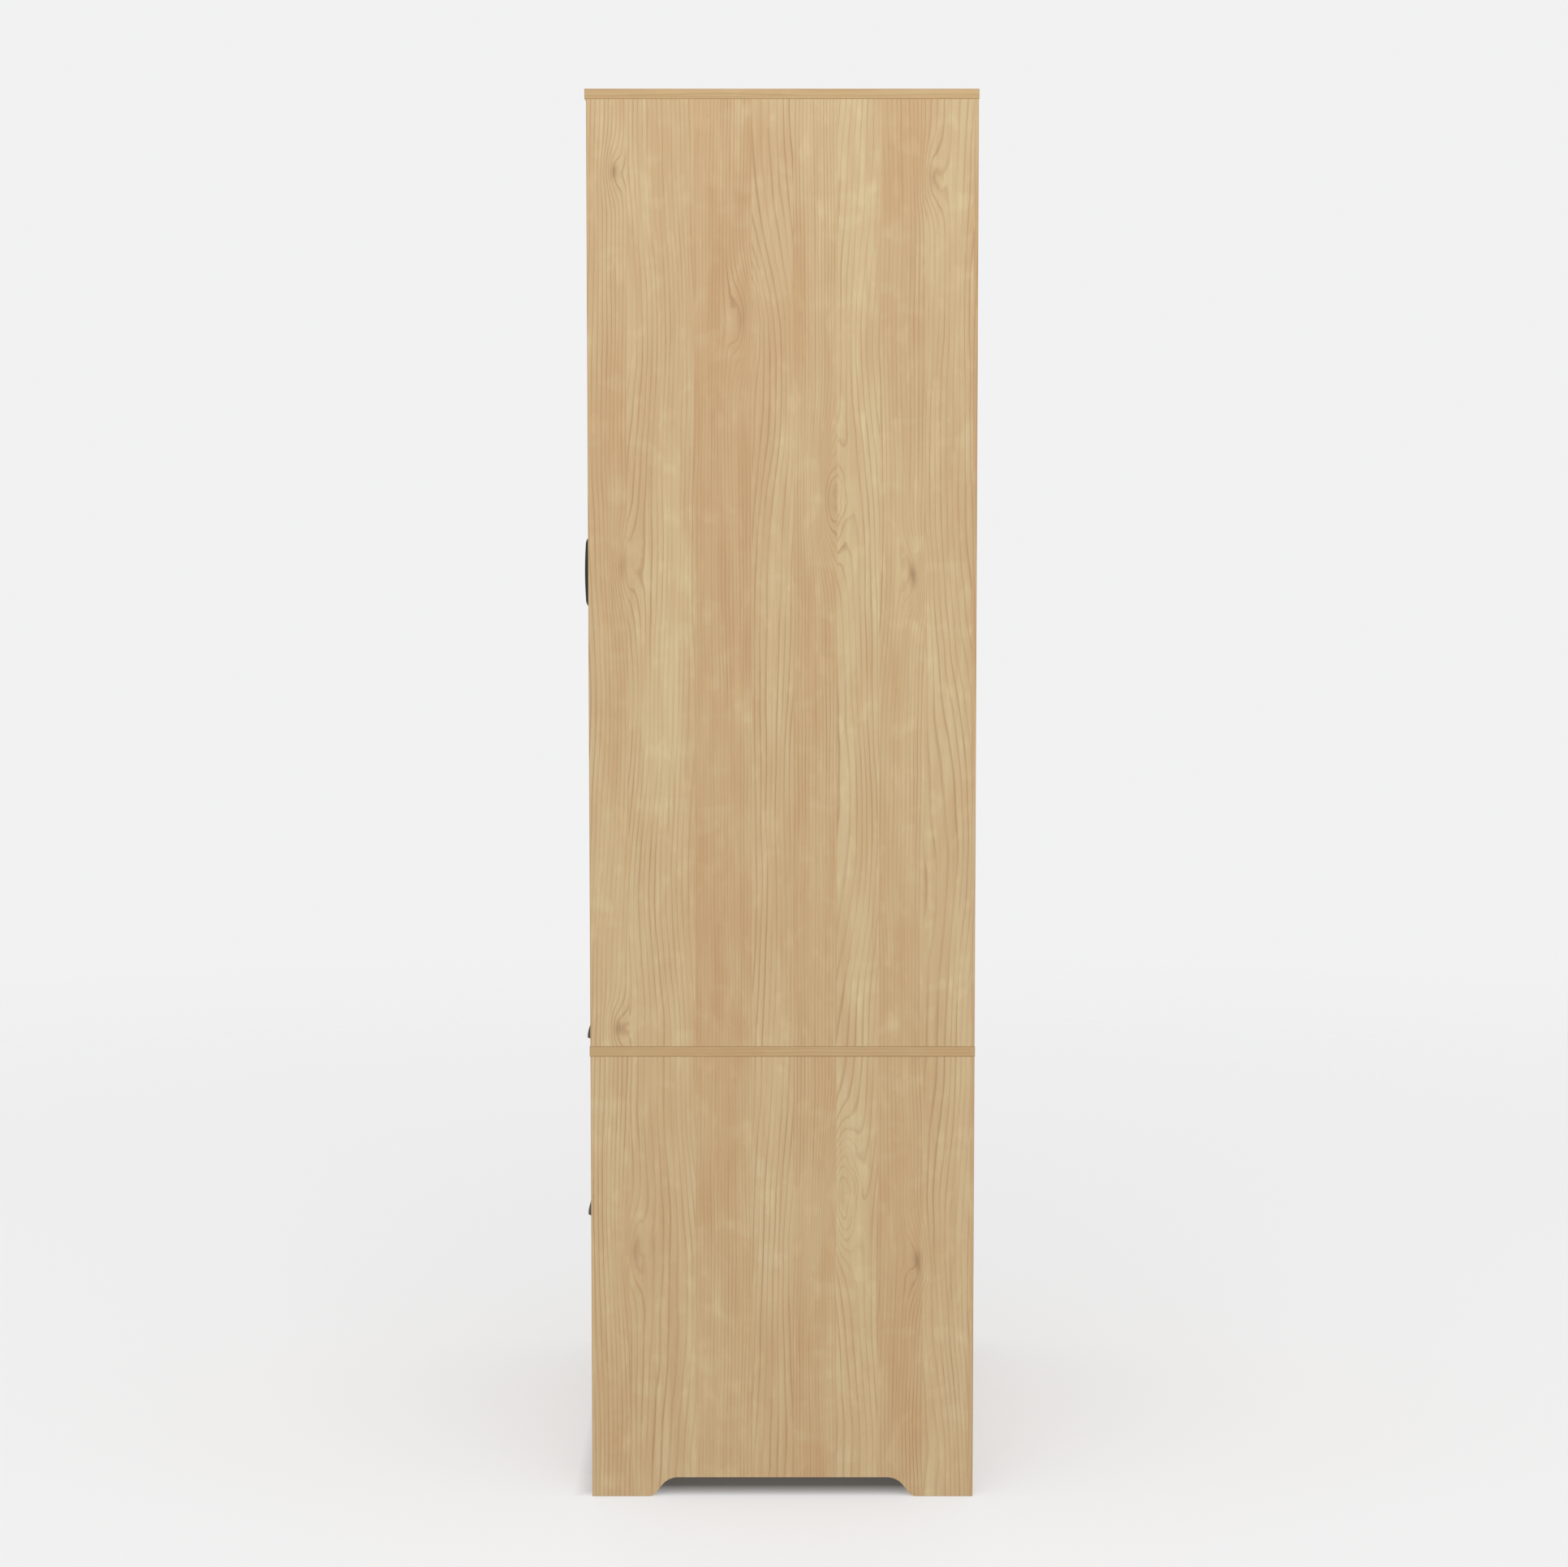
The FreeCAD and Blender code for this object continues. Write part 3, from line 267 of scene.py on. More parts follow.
# of two numbers, the first is for a quarter-sawn stave and the second for a flat-sawn one
grainFigure = {
    "ringsPerMetre": (238, 118),
    "slowSweep": (4, 14),         # rings that the slow waves move a line by
    "calmSweep": 0.04,            # share of the slow sweep that is left on an edge strip
    "quickSweep": 1.1,
    "logDepth": 37,               # distance in the noise from the first place in the log to the last
    "faintestRing": 0.45,
    "faintestStretch": 0.35,
    # how dark a ring is on its way from one ring line to the next
    "ringProfile": [(0.0, 0.0), (0.5, 0.08), (0.8, 1.0), (0.93, 0.06), (1.0, 0.0)],
    "toneWeight": 0.42,
    "lineWeight": 0.72,
    "knotShade": 0.55,
    "knotMiddle": (0.16, 0.075, 0.03, 1),
    "roughness": (0.42, 0.5),     # of the palest and of the darkest print
}
# waves of noise per metre across and along the grain, distance into the noise, its detail and roughness,
# and for a layer also the noise values that become 0 and 1, and how much it warms or darkens the print
slowWave = dict(across=7.5, along=1.7, depth=0, detail=0.8, rough=0.5)
quickWave = dict(across=34, along=7, depth=0, detail=1.5, rough=0.5)
fadingWave = dict(across=26, along=4.5, depth=0, detail=2, rough=0.5, levels=(0.36, 0.6))
sheetLayers = {
    "blotch": dict(across=15, along=2.4, depth=5.3, detail=3, rough=0.6, levels=(0.42, 0.58), weight=0.32),
    "fibre": dict(across=620, along=9, depth=0, detail=2.5, rough=0.65, levels=(0.3, 0.7), weight=0.14),
    "pore": dict(across=900, along=42, depth=0, detail=1, rough=0.5, levels=(0.64, 0.74), weight=0.16),
}
# these start anew in every stave; a bar is a pale ray across the grain, and a fleck is a small one
staveLayers = {
    "cloud": dict(across=48, along=7, depth=1.7, detail=2, rough=0.55, levels=(0.4, 0.6), weight=0.26),
    "bar": dict(across=22, along=30, depth=9.2, detail=1.2, rough=0.5, levels=(0.58, 0.72), weight=-0.22),
    "streak": dict(across=150, along=2.2, depth=0, detail=2, rough=0.6, levels=(0.34, 0.66), weight=0.13),
    "fleck": dict(across=60, along=26, depth=4.1, detail=1.5, rough=0.5, levels=(0.58, 0.7), weight=-0.12),
}


def buildLaminateGrain():
    group, tree, entry, leave = startGroup(
        "laminateGrain",
        [("Across", floatSocket, 0), ("Along", floatSocket, 0), ("Seed", floatSocket, 0),
         ("Knot Shift", floatSocket, 0), ("Knot Mask", floatSocket, 0), ("Sheet Start", floatSocket, 0),
         ("Line Strength", floatSocket, 1), ("Calm", floatSocket, 0), ("Straw", colourSocket, None),
         ("Peach", colourSocket, None), ("Late Wood", colourSocket, None)],
        [("Color", colourSocket), ("Roughness", floatSocket), ("Height", floatSocket)],
    )
    across, along, seed = entry["Across"], entry["Along"], entry["Seed"]

    # red is a stave's tone, green is how flat it was sawn, and blue its place in the log
    fromStart = tree.math("SUBTRACT", across, entry["Sheet Start"])
    share = tree.math("FRACT", tree.math("DIVIDE", fromStart, printLook["sheetWidth"]))
    staveStops = [(position, (*values, 1)) for position, *values in printLook["staves"]]
    parts = tree.node("ShaderNodeSeparateColor")
    tree.feed(parts.inputs[0], tree.ramp(share, "CONSTANT", staveStops))
    tone, cut, turn = parts.outputs
    ownDepth = tree.math("ADD", tree.math("MULTIPLY", turn, grainFigure["logDepth"]), seed)

    def field(look, start):
        place = tree.vector(
            tree.math("MULTIPLY", across, look["across"]),
            tree.math("MULTIPLY", along, look["along"]),
            tree.math("ADD", start, look["depth"]))
        return tree.noise(place, look["detail"], look["rough"])

    def layer(look, start):
        # a layer between 0 and 1, and its weight
        return tree.mapped(field(look, start), *look["levels"], 0, 1), look["weight"]

    density = tree.mapped(cut, 0, 1, *grainFigure["ringsPerMetre"])
    calm = tree.mapped(entry["Calm"], 0, 1, 1, grainFigure["calmSweep"])
    sweep = tree.math("MULTIPLY", tree.mapped(cut, 0, 1, *grainFigure["slowSweep"]), calm)
    slow = tree.math("SUBTRACT", field(slowWave, ownDepth), 0.5)
    quick = tree.math("SUBTRACT", field(quickWave, ownDepth), 0.5)
    rings = tree.math("MULTIPLY", across, density)
    rings = tree.math("ADD", rings, tree.math("MULTIPLY", slow, sweep))
    rings = tree.math("ADD", rings, tree.math("MULTIPLY", quick, grainFigure["quickSweep"]))
    rings = tree.math("ADD", rings, entry["Knot Shift"])

    ringStops = [(position, (level, level, level, 1)) for position, level in grainFigure["ringProfile"]]
    lateWood = tree.ramp(tree.math("FRACT", rings), "EASE", ringStops)
    ringNumber = tree.node("ShaderNodeTexWhiteNoise", noise_dimensions="2D")
    tree.feed(ringNumber.inputs["Vector"], tree.vector(tree.math("FLOOR", rings), ownDepth, 0))
    ringStrength = tree.mapped(ringNumber.outputs["Value"], 0, 1, grainFigure["faintestRing"], 1)
    fading = tree.mapped(field(fadingWave, seed), *fadingWave["levels"], grainFigure["faintestStretch"], 1)
    lines = tree.math("MULTIPLY", lateWood, tree.math("MULTIPLY", ringStrength, fading))
    lines = tree.math("MULTIPLY", lines, entry["Line Strength"])

    warmth = tree.weighted([
        (tone, grainFigure["toneWeight"]), layer(sheetLayers["blotch"], seed),
        layer(staveLayers["cloud"], ownDepth), layer(staveLayers["bar"], ownDepth)])
    base = tree.mixColour(warmth, entry["Straw"], entry["Peach"])

    # the print darkens between its fibres, in long streaks and in short pores
    fibre, fibreWeight = layer(sheetLayers["fibre"], seed)
    darkness = tree.weighted([
        (lines, grainFigure["lineWeight"]), (tree.math("SUBTRACT", 1, fibre), fibreWeight),
        layer(staveLayers["streak"], ownDepth), layer(sheetLayers["pore"], seed),
        layer(staveLayers["fleck"], ownDepth)])
    grained = tree.mixColour(darkness, base, entry["Late Wood"])
    knotBrown = tree.mixColour(grainFigure["knotShade"], entry["Late Wood"], grainFigure["knotMiddle"])
    tree.feed(leave["Color"], tree.mixColour(entry["Knot Mask"], grained, knotBrown))
    tree.feed(leave["Roughness"], tree.mapped(darkness, 0, 1, *grainFigure["roughness"]))
    tree.feed(leave["Height"], tree.math("SUBTRACT", 1, darkness))
    return group


def buildBoardEdge():
    # 1 on the rounded edges of a board and 0 inside its faces, from the board's own box; it places the
    # painted shade of the seams
    group, tree, entry, leave = startGroup(
        "boardEdge",
        [("Place", vectorSocket, None), ("Low", vectorSocket, None), ("High", vectorSocket, None),
         ("Width", floatSocket, 0.0012)],
        [("Mask", floatSocket)],
    )
    place, low, high = tree.split(entry["Place"]), tree.split(entry["Low"]), tree.split(entry["High"])
    near = []
    for axis in range(3):
        fromLow = tree.math("SUBTRACT", place[axis], low[axis])
        fromHigh = tree.math("SUBTRACT", high[axis], place[axis])
        gap = tree.math("MINIMUM", fromLow, fromHigh)
        near.append(tree.mapped(gap, 0, entry["Width"], 1, 0))
    # an edge is where two of the three distances are small
    total = tree.math("ADD", tree.math("ADD", near[0], near[1]), near[2])
    tree.feed(leave["Mask"], tree.math("SUBTRACT", total, 1, clamp=True))
    return group


handlingLook = {
    "patchDetail": 4,
    "patchRough": 0.6,
    "patchLevels": (0.4, 0.6),    # noise values where a rubbed patch starts and is full
    "glossLevels": (0.3, 0.7),    # noise values of the glossiest and the dullest places
    "gritScale": 14,              # grit is this many times as fine as the patches
}


def buildHandling():
    # fine dust and rubbed patches for metal and plastic
    group, tree, entry, leave = startGroup(
        "handling",
        [("Place", vectorSocket, None), ("Scale", floatSocket, 60), ("Low", floatSocket, 0.3),
         ("High", floatSocket, 0.5)],
        [("Roughness", floatSocket), ("Height", floatSocket), ("Patch", floatSocket)],
    )
    scaled = tree.node("ShaderNodeVectorMath", operation="SCALE")
    tree.feed(scaled.inputs[0], entry["Place"])
    tree.feed(scaled.inputs["Scale"], entry["Scale"])
    patch = tree.noise(scaled.outputs[0], handlingLook["patchDetail"], handlingLook["patchRough"])
    grit = tree.noise(scaled.outputs[0], scale=handlingLook["gritScale"])
    tree.feed(leave["Patch"], tree.mapped(patch, *handlingLook["patchLevels"], 0, 1))
    gloss = tree.mapped(patch, *handlingLook["glossLevels"], entry["Low"], entry["High"])
    tree.feed(leave["Roughness"], gloss)
    tree.feed(leave["Height"], grit)
    return group


boardAxes = buildBoardAxes()
knotFigure = buildKnotFigure()
laminateGrain = buildLaminateGrain()
boardEdge = buildBoardEdge()
handling = buildHandling()
print("shader groups built")


def startMaterial(name):
    material = bpy.data.materials.new(name)
    material.use_nodes = True
    tree = Tree(material.node_tree)
    shader = material.node_tree.nodes["Principled BSDF"]
    spot = tree.node("ShaderNodeTexCoord")
    return material, tree, shader, spot


def addBump(tree, shader, height, distance, strength):
    bump = tree.node("ShaderNodeBump")
    bump.inputs["Strength"].default_value = strength
    bump.inputs["Distance"].default_value = distance
    tree.feed(bump.inputs["Height"], height)
    tree.feed(shader.inputs["Normal"], bump.outputs[0])


# knots and eyes as shares of the panel's width and height, then half width and height in metres,
# the strength of the bend in grain lines, and how dark the middle is
tallPanelKnots = [
    (0.070, 0.925, 0.014, 0.030, 2.5, 0.55),
    (0.885, 0.918, 0.016, 0.040, 3.0, 0.30),
    (0.620, 0.582, 0.020, 0.075, 7.0, 0.12),
    (0.835, 0.503, 0.014, 0.045, -4.0, 0.60),
    (0.090, 0.512, 0.016, 0.050, 3.0, 0.28),
    (0.400, 0.772, 0.018, 0.060, -4.5, 0.18),
    (0.070, 0.020, 0.014, 0.030, 2.5, 0.55),
]
lowPanelKnots = [
    (0.655, 0.690, 0.020, 0.075, 7.0, 0.12),
    (0.850, 0.535, 0.014, 0.045, -4.0, 0.60),
    (0.115, 0.560, 0.016, 0.050, 3.0, 0.28),
]
frontKnots = [(0.30, 0.66, 0.016, 0.05, 5.0, 0.3), (0.72, 0.25, 0.018, 0.07, -4.0, 0.2)]


def laminate(node, seed, upright, knots=(), widthAxis=1):
    low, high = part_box(node)
    material, tree, shader, spot = startMaterial(f"laminate_{node}")
    axes = tree.place(boardAxes, Place=spot.outputs["Object"], Facing=spot.outputs["Normal"],
                      Upright=1.0 if upright else 0.0)
    across, along = axes["Across"], axes["Along"]
    shift, mask = 0.0, 0.0
    for shareAcross, shareAlong, halfWidth, halfHeight, strength, core in knots:
        figure = tree.place(knotFigure, **{
            "Across": across, "Along": along,
            "Centre Across": low[widthAxis] + shareAcross * (high[widthAxis] - low[widthAxis]),
            "Centre Along": low.z + shareAlong * (high.z - low.z),
            "Half Width": halfWidth, "Half Height": halfHeight,
            "Strength": strength, "Core": core,
        })
        shift = tree.math("ADD", figure["Shift"], shift)
        mask = tree.math("MAXIMUM", figure["Mask"], mask)
    # the glued edge strips are plainer than the faces
    thin = min(range(3), key=lambda axis: high[axis] - low[axis])
    facing = tree.split(spot.outputs["Normal"])
    band = tree.math("LESS_THAN", tree.math("ABSOLUTE", facing[thin]), faceTurn)
    grain = tree.place(laminateGrain, **{
        "Calm": band, "Across": across, "Along": along, "Seed": seed,
        "Knot Shift": shift, "Knot Mask": mask,
        "Sheet Start": low[widthAxis] if upright else low.z + seed * printLook["sheetStep"],
        "Line Strength": printLook["lineStrength"] if upright else printLook["lyingLineStrength"],
        "Straw": printLook["straw"], "Peach": printLook["peach"], "Late Wood": printLook["lateWood"],
    })
    strip = tree.math("MULTIPLY", band, printLook["stripShare"])
    face = tree.mixColour(strip, grain["Color"], printLook["strip"])
    edge = tree.place(boardEdge, Place=spot.outputs["Object"], Low=low, High=high)
    # painted shade: the rounded edges darken, so that the seams between boards show shadow lines
    paintedSeamShade = tree.math("MULTIPLY", edge["Mask"], printLook["seamShadeShare"])
    tree.feed(shader.inputs["Base Color"], tree.mixColour(paintedSeamShade, face, printLook["edge"]))
    tree.feed(shader.inputs["Roughness"], grain["Roughness"])
    shader.inputs["Specular IOR Level"].default_value = printLook["specular"]
    addBump(tree, shader, grain["Height"], printLook["relief"], printLook["reliefStrength"])
    return material


# painted, plated and moulded parts by slot: the colour of clean and of rubbed places, the roughness of
# the glossiest and the dullest, how metallic, patches per metre, the grit's height, and the clear coat
finishes = {
    "pull_metal": dict(name="pullBlack", base=colour(34, 31, 29), rubbed=colour(48, 43, 39),
                       rough=(0.34, 0.5), metallic=0.35, scale=90, grit=0.00003, coat=0.15),
    "zinc": dict(name="zincPlate", base=(0.62, 0.61, 0.57, 1), rubbed=(0.5, 0.49, 0.45, 1),
                 rough=(0.22, 0.42), metallic=1.0, scale=220),
    "steel_plate": dict(name="rolledSteel", base=(0.52, 0.52, 0.51, 1), rubbed=(0.42, 0.42, 0.41, 1),
                        rough=(0.3, 0.5), metallic=1.0, scale=120),
    "epoxy_steel": dict(name="runnerEpoxy", base=(0.78, 0.77, 0.71, 1), rubbed=(0.70, 0.69, 0.63, 1),
                        rough=(0.3, 0.45), scale=80),
    "nylon": dict(name="rollerNylon", base=(0.80, 0.79, 0.74, 1), rubbed=(0.72, 0.71, 0.66, 1),
                  rough=(0.4, 0.55), scale=150),
    "catch_plastic": dict(name="catchBrown", base=(0.20, 0.13, 0.08, 1), rubbed=(0.15, 0.10, 0.06, 1),
                          rough=(0.38, 0.5), scale=140),
    "beech": dict(name="beechDowel", base=(0.62, 0.45, 0.28, 1), rubbed=(0.5, 0.35, 0.2, 1),
                  rough=(0.6, 0.75), scale=200),
}
rubbedShare = 0.5
gritStrength = 0.5


def moulded(name, base, rubbed, rough, scale, metallic=0.0, grit=0.00004, coat=0.0):
    material, tree, shader, spot = startMaterial(name)
    worn = tree.place(handling, Place=spot.outputs["Object"], Scale=scale, Low=rough[0], High=rough[1])
    patch = tree.math("MULTIPLY", worn["Patch"], rubbedShare)
    tree.feed(shader.inputs["Base Color"], tree.mixColour(patch, base, rubbed))
    tree.feed(shader.inputs["Roughness"], worn["Roughness"])
    shader.inputs["Metallic"].default_value = metallic
    shader.inputs["Coat Weight"].default_value = coat
    addBump(tree, shader, worn["Height"], grit, gritStrength)
    return material


slotMaterials = {slot: moulded(**finish) for slot, finish in finishes.items()}

# boards whose grain stands upright: the print's seed, the knots and the axis of the board's width
uprightBoards = {
    "side_right_upper": (3.0, tallPanelKnots, 1),
    "side_right_lower": (3.0, lowPanelKnots, 1),
    "side_left_upper": (11.0, tallPanelKnots, 1),
    "side_left_lower": (11.0, lowPanelKnots, 1),
    "door_right": (21.0, frontKnots, 0),
    "door_left": (27.5, frontKnots, 0),
    "drawer_upper_front": (33.0, (), 0),
    "drawer_lower_front": (33.0, (), 0),
    "front_apron": (33.0, (), 0),
    "rear_rail": (41.0, (), 0),
    "top_rear_rail": (43.0, (), 0),
    "back_panel_upper": (51.0, (), 0),
    "back_panel_lower": (51.0, (), 0),
}
firstLyingSeed = 60.0
lyingSeedStep = 3.7


def dress(node, material):
    slots = nodes[node].material_slots
    if slots:
        for each in slots:
            each.material = material
    else:
        nodes[node].data.materials.append(material)


lyingSeed = firstLyingSeed
for node, slotName in sorted(slotOf.items()):
    if slotName in slotMaterials:
        dress(node, slotMaterials[slotName])
    elif node in uprightBoards:
        seed, knots, widthAxis = uprightBoards[node]
        dress(node, laminate(node, seed, True, knots, widthAxis))
    else:
        lyingSeed += lyingSeedStep
        dress(node, laminate(node, lyingSeed, False))
print("boards dressed")


def newObject(name, data):
    made = bpy.data.objects.new(name, data)
    scene.collection.objects.link(made)
    return made


def bakedMesh(name, source):
    # the object's mesh with its modifiers applied, as a plain mesh; the source object goes
    depsgraph = bpy.context.evaluated_depsgraph_get()
    depsgraph.update()
    mesh = bpy.data.meshes.new_from_object(source.evaluated_get(depsgraph))
    mesh.name = name
    bpy.data.objects.remove(source)
    return mesh


def smoothFaces(mesh):
    for face in mesh.polygons:
        face.use_smooth = True


def finishPiece(made, node, body):
    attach(made, body)
    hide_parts(node)


def looseParts(node):
    # the box of every separate solid in a CAD node, from a merged copy of its mesh
    copy = bmesh.new()
    copy.from_mesh(nodes[node].data)
    bmesh.ops.remove_doubles(copy, verts=copy.verts, dist=mergeDistance)
    left = set(copy.verts)
    boxes = []
    while left:
        front = [left.pop()]
        reached = list(front)
        while front:
            for edge in front.pop().link_edges:
                for vert in edge.verts:
                    if vert in left:
                        left.remove(vert)
                        front.append(vert)
                        reached.append(vert)
        low = Vector([min(vert.co[axis] for vert in reached) for axis in range(3)])
        high = Vector([max(vert.co[axis] for vert in reached) for axis in range(3)])
        boxes.append((low, high))
    copy.free()
    return sorted(boxes, key=lambda box: tuple(round(value, 4) for value in box[0]))


barPull = {
    "footHalf": 0.0055,     # half of a foot's height against the door
    "barHalf": 0.0033,      # half of the bar's thickness at its middle
    "bend": 0.0092,         # radius of the centre line where a foot turns into the bar
    "bow": 0.0013,          # how much further out the middle stands than the ends
    "squareness": 3.2,      # 2 gives an oval section, more gives a squarer one
    "footShare": 0.6,       # how much of the change from foot to bar lies before the bend
    "around": 36,
    "bendSteps": 14,
    "barSteps": 36,
    "footSteps": 5,
}


def buildBarPull(name, node, body):
    low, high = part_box(node)
    middle = (low + high) / 2
    halfWidth = (high.x - low.x) / 2
    footHeight = (high.z - low.z) / 2 - barPull["footHalf"]
    bend, bow = barPull["bend"], barPull["bow"]
    bendOut = high.y - low.y - barPull["barHalf"] - bow - bend
    barEnd = footHeight - bend

    # along the centre line: distance out of the door, height, heading and share of the way from foot to bar
    stations = []
    for step in range(barPull["footSteps"]):
        share = step / barPull["footSteps"]
        stations.append((bendOut * share, footHeight, 0.0, share * barPull["footShare"]))
    for step in range(barPull["bendSteps"]):
        share = step / barPull["bendSteps"]
        angle = share * math.pi / 2
        stations.append((
            bendOut + bend * math.sin(angle), barEnd + bend * math.cos(angle), angle,
            barPull["footShare"] + (1 - barPull["footShare"]) * share))
    for step in range(barPull["barSteps"] // 2 + 1):
        height = barEnd * (1 - 2 * step / barPull["barSteps"])
        out = bendOut + bend + bow * (1 - (height / barEnd) ** 2)
        stations.append((out, height, math.pi / 2, 1.0))
    for out, height, angle, share in reversed(stations[:-1]):
        stations.append((out, -height, math.pi - angle, share))

    sketch = bmesh.new()
    rings = []
    for out, height, angle, share in stations:
        ease = 0.5 - 0.5 * math.cos(math.pi * share)
        halfThick = barPull["footHalf"] + (barPull["barHalf"] - barPull["footHalf"]) * ease
        outer = Vector((0, -math.sin(angle), math.cos(angle)))
        centre = Vector((middle.x, high.y - out, middle.z + height))
        ring = []
        for index in range(barPull["around"]):
            turn = 2 * math.pi * index / barPull["around"]
            wide = math.copysign(abs(math.cos(turn)) ** (2 / barPull["squareness"]), math.cos(turn))
            deep = math.copysign(abs(math.sin(turn)) ** (2 / barPull["squareness"]), math.sin(turn))
            sideways = Vector((wide * halfWidth, 0, 0))
            ring.append(sketch.verts.new(centre + sideways + outer * deep * halfThick))
        rings.append(ring)
    for first, second in zip(rings, rings[1:]):
        for index in range(barPull["around"]):
            after = (index + 1) % barPull["around"]
            sketch.faces.new((first[index], first[after], second[after], second[index]))
    sketch.faces.new(rings[0])
    sketch.faces.new(rings[-1])
    bmesh.ops.recalc_face_normals(sketch, faces=sketch.faces)
    mesh = bpy.data.meshes.new(name)
    sketch.to_mesh(mesh)
    sketch.free()
    mesh.materials.append(slotMaterials["pull_metal"])
    smoothFaces(mesh)
    finishPiece(newObject(name, mesh), node, body)


cupPull = {
    "wall": 0.0022,
    "corner": 0.018,         # radius of the two upper corners, seen from the front
    "lipRound": 0.00075,
    "lipSteps": 3,
    "lipAngle": 50,          # degrees over which an edge is rounded
    "sharpAngle": 45,        # degrees over which the shading breaks
    "cornerSteps": 12,
    "turnSteps": 22,
    "topSteps": 14,
    "sideSteps": 3,
    "bossRadius": 0.0042,
    "bossRise": 0.012,
    "bossInset": 0.014,      # from each end of the pull
    "bossSides": 28,
}


def buildCupPull(name, node, body):
    low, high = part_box(node)
    middleX = (low.x + high.x) / 2
    half, depth, rise = (high.x - low.x) / 2, high.y - low.y, high.z - low.z
    corner = cupPull["corner"]
    # half of the outline, from one end to the middle: distance along the pull and out from its back edge
    outline = []
    for step in range(cupPull["sideSteps"]):
        outline.append((-half, (depth - corner) * step / cupPull["sideSteps"]))
    for step in range(cupPull["cornerSteps"]):
        angle = math.pi / 2 * step / cupPull["cornerSteps"]
        outline.append((
            corner - half - corner * math.cos(angle), depth - corner + corner * math.sin(angle)))
    for step in range(cupPull["topSteps"] // 2 + 1):
        outline.append(((corner - half) * (1 - 2 * step / cupPull["topSteps"]), depth))
    outline += [(-x, reach) for x, reach in reversed(outline[:-1])]

    sketch = bmesh.new()
    columns = []
    for x, reach in outline:
        column = []
        for step in range(cupPull["turnSteps"] + 1):
            angle = math.pi / 2 * step / cupPull["turnSteps"]
            column.append(sketch.verts.new((
                middleX + x, high.y - reach * math.sin(angle),
                low.z + reach * math.cos(angle) * rise / depth)))
        columns.append(column)
    for first, second in zip(columns, columns[1:]):
        for step in range(cupPull["turnSteps"]):
            sketch.faces.new((first[step], first[step + 1], second[step + 1], second[step]))
    bmesh.ops.remove_doubles(sketch, verts=sketch.verts, dist=mergeDistance)
    bmesh.ops.recalc_face_normals(sketch, faces=sketch.faces)
    crown = max(sketch.faces, key=lambda face: face.calc_center_median().z)
    if crown.normal.z < 0:
        bmesh.ops.reverse_faces(sketch, faces=sketch.faces)
    shellMesh = bpy.data.meshes.new(f"{name}Shell")
    sketch.to_mesh(shellMesh)
    sketch.free()
    smoothFaces(shellMesh)
    shell = newObject(f"{name}Shell", shellMesh)
    thicken = shell.modifiers.new("wall", "SOLIDIFY")
    thicken.thickness = cupPull["wall"]
    thicken.offset = -1
    thicken.use_even_offset = True
    rounding = shell.modifiers.new("lip", "BEVEL")
    rounding.width = cupPull["lipRound"]
    rounding.segments = cupPull["lipSteps"]
    rounding.limit_method = "ANGLE"
    rounding.angle_limit = math.radians(cupPull["lipAngle"])
    mesh = bakedMesh(name, shell)

    # the two bosses that the screws enter, from the back edge into the shell
    whole = bmesh.new()
    whole.from_mesh(mesh)
    for side in (1, -1):
        bossX = (half - cupPull["bossInset"]) * side
        fromCorner = abs(bossX) - (half - corner)
        reach = depth - corner + math.sqrt(corner**2 - fromCorner**2)
        upShare = cupPull["bossRise"] / rise * depth
        bossLength = math.sqrt(reach**2 - upShare**2) - cupPull["wall"] / 2
        turn = Matrix.Rotation(math.pi / 2, 4, "X")
        place = Matrix.Translation((middleX + bossX, high.y - bossLength / 2, low.z + cupPull["bossRise"]))
        bmesh.ops.create_cone(
            whole, cap_ends=True, segments=cupPull["bossSides"], radius1=cupPull["bossRadius"],
            radius2=cupPull["bossRadius"], depth=bossLength, matrix=place @ turn)
    whole.to_mesh(mesh)
    whole.free()
    mesh.materials.clear()
    mesh.materials.append(slotMaterials["pull_metal"])
    smoothFaces(mesh)
    finishPiece(newObject(name, mesh), node, body)
    mesh.set_sharp_from_angle(angle=math.radians(cupPull["sharpAngle"]))


# the screw group's inputs in metres, where a kind of screw below doesn't set its own
screwSizes = {
    "Head Radius": 0.004, "Head Height": 0.0022, "Rim Radius": 0.0033, "Base Radius": 0.004,
    "Crown Height": 0.0008, "Shank Radius": 0.0019, "Shank Length": 0.02,
    "Recess Span": 0.0042, "Recess Width": 0.0009, "Recess Depth": 0.0013,
}
screwSides = 32


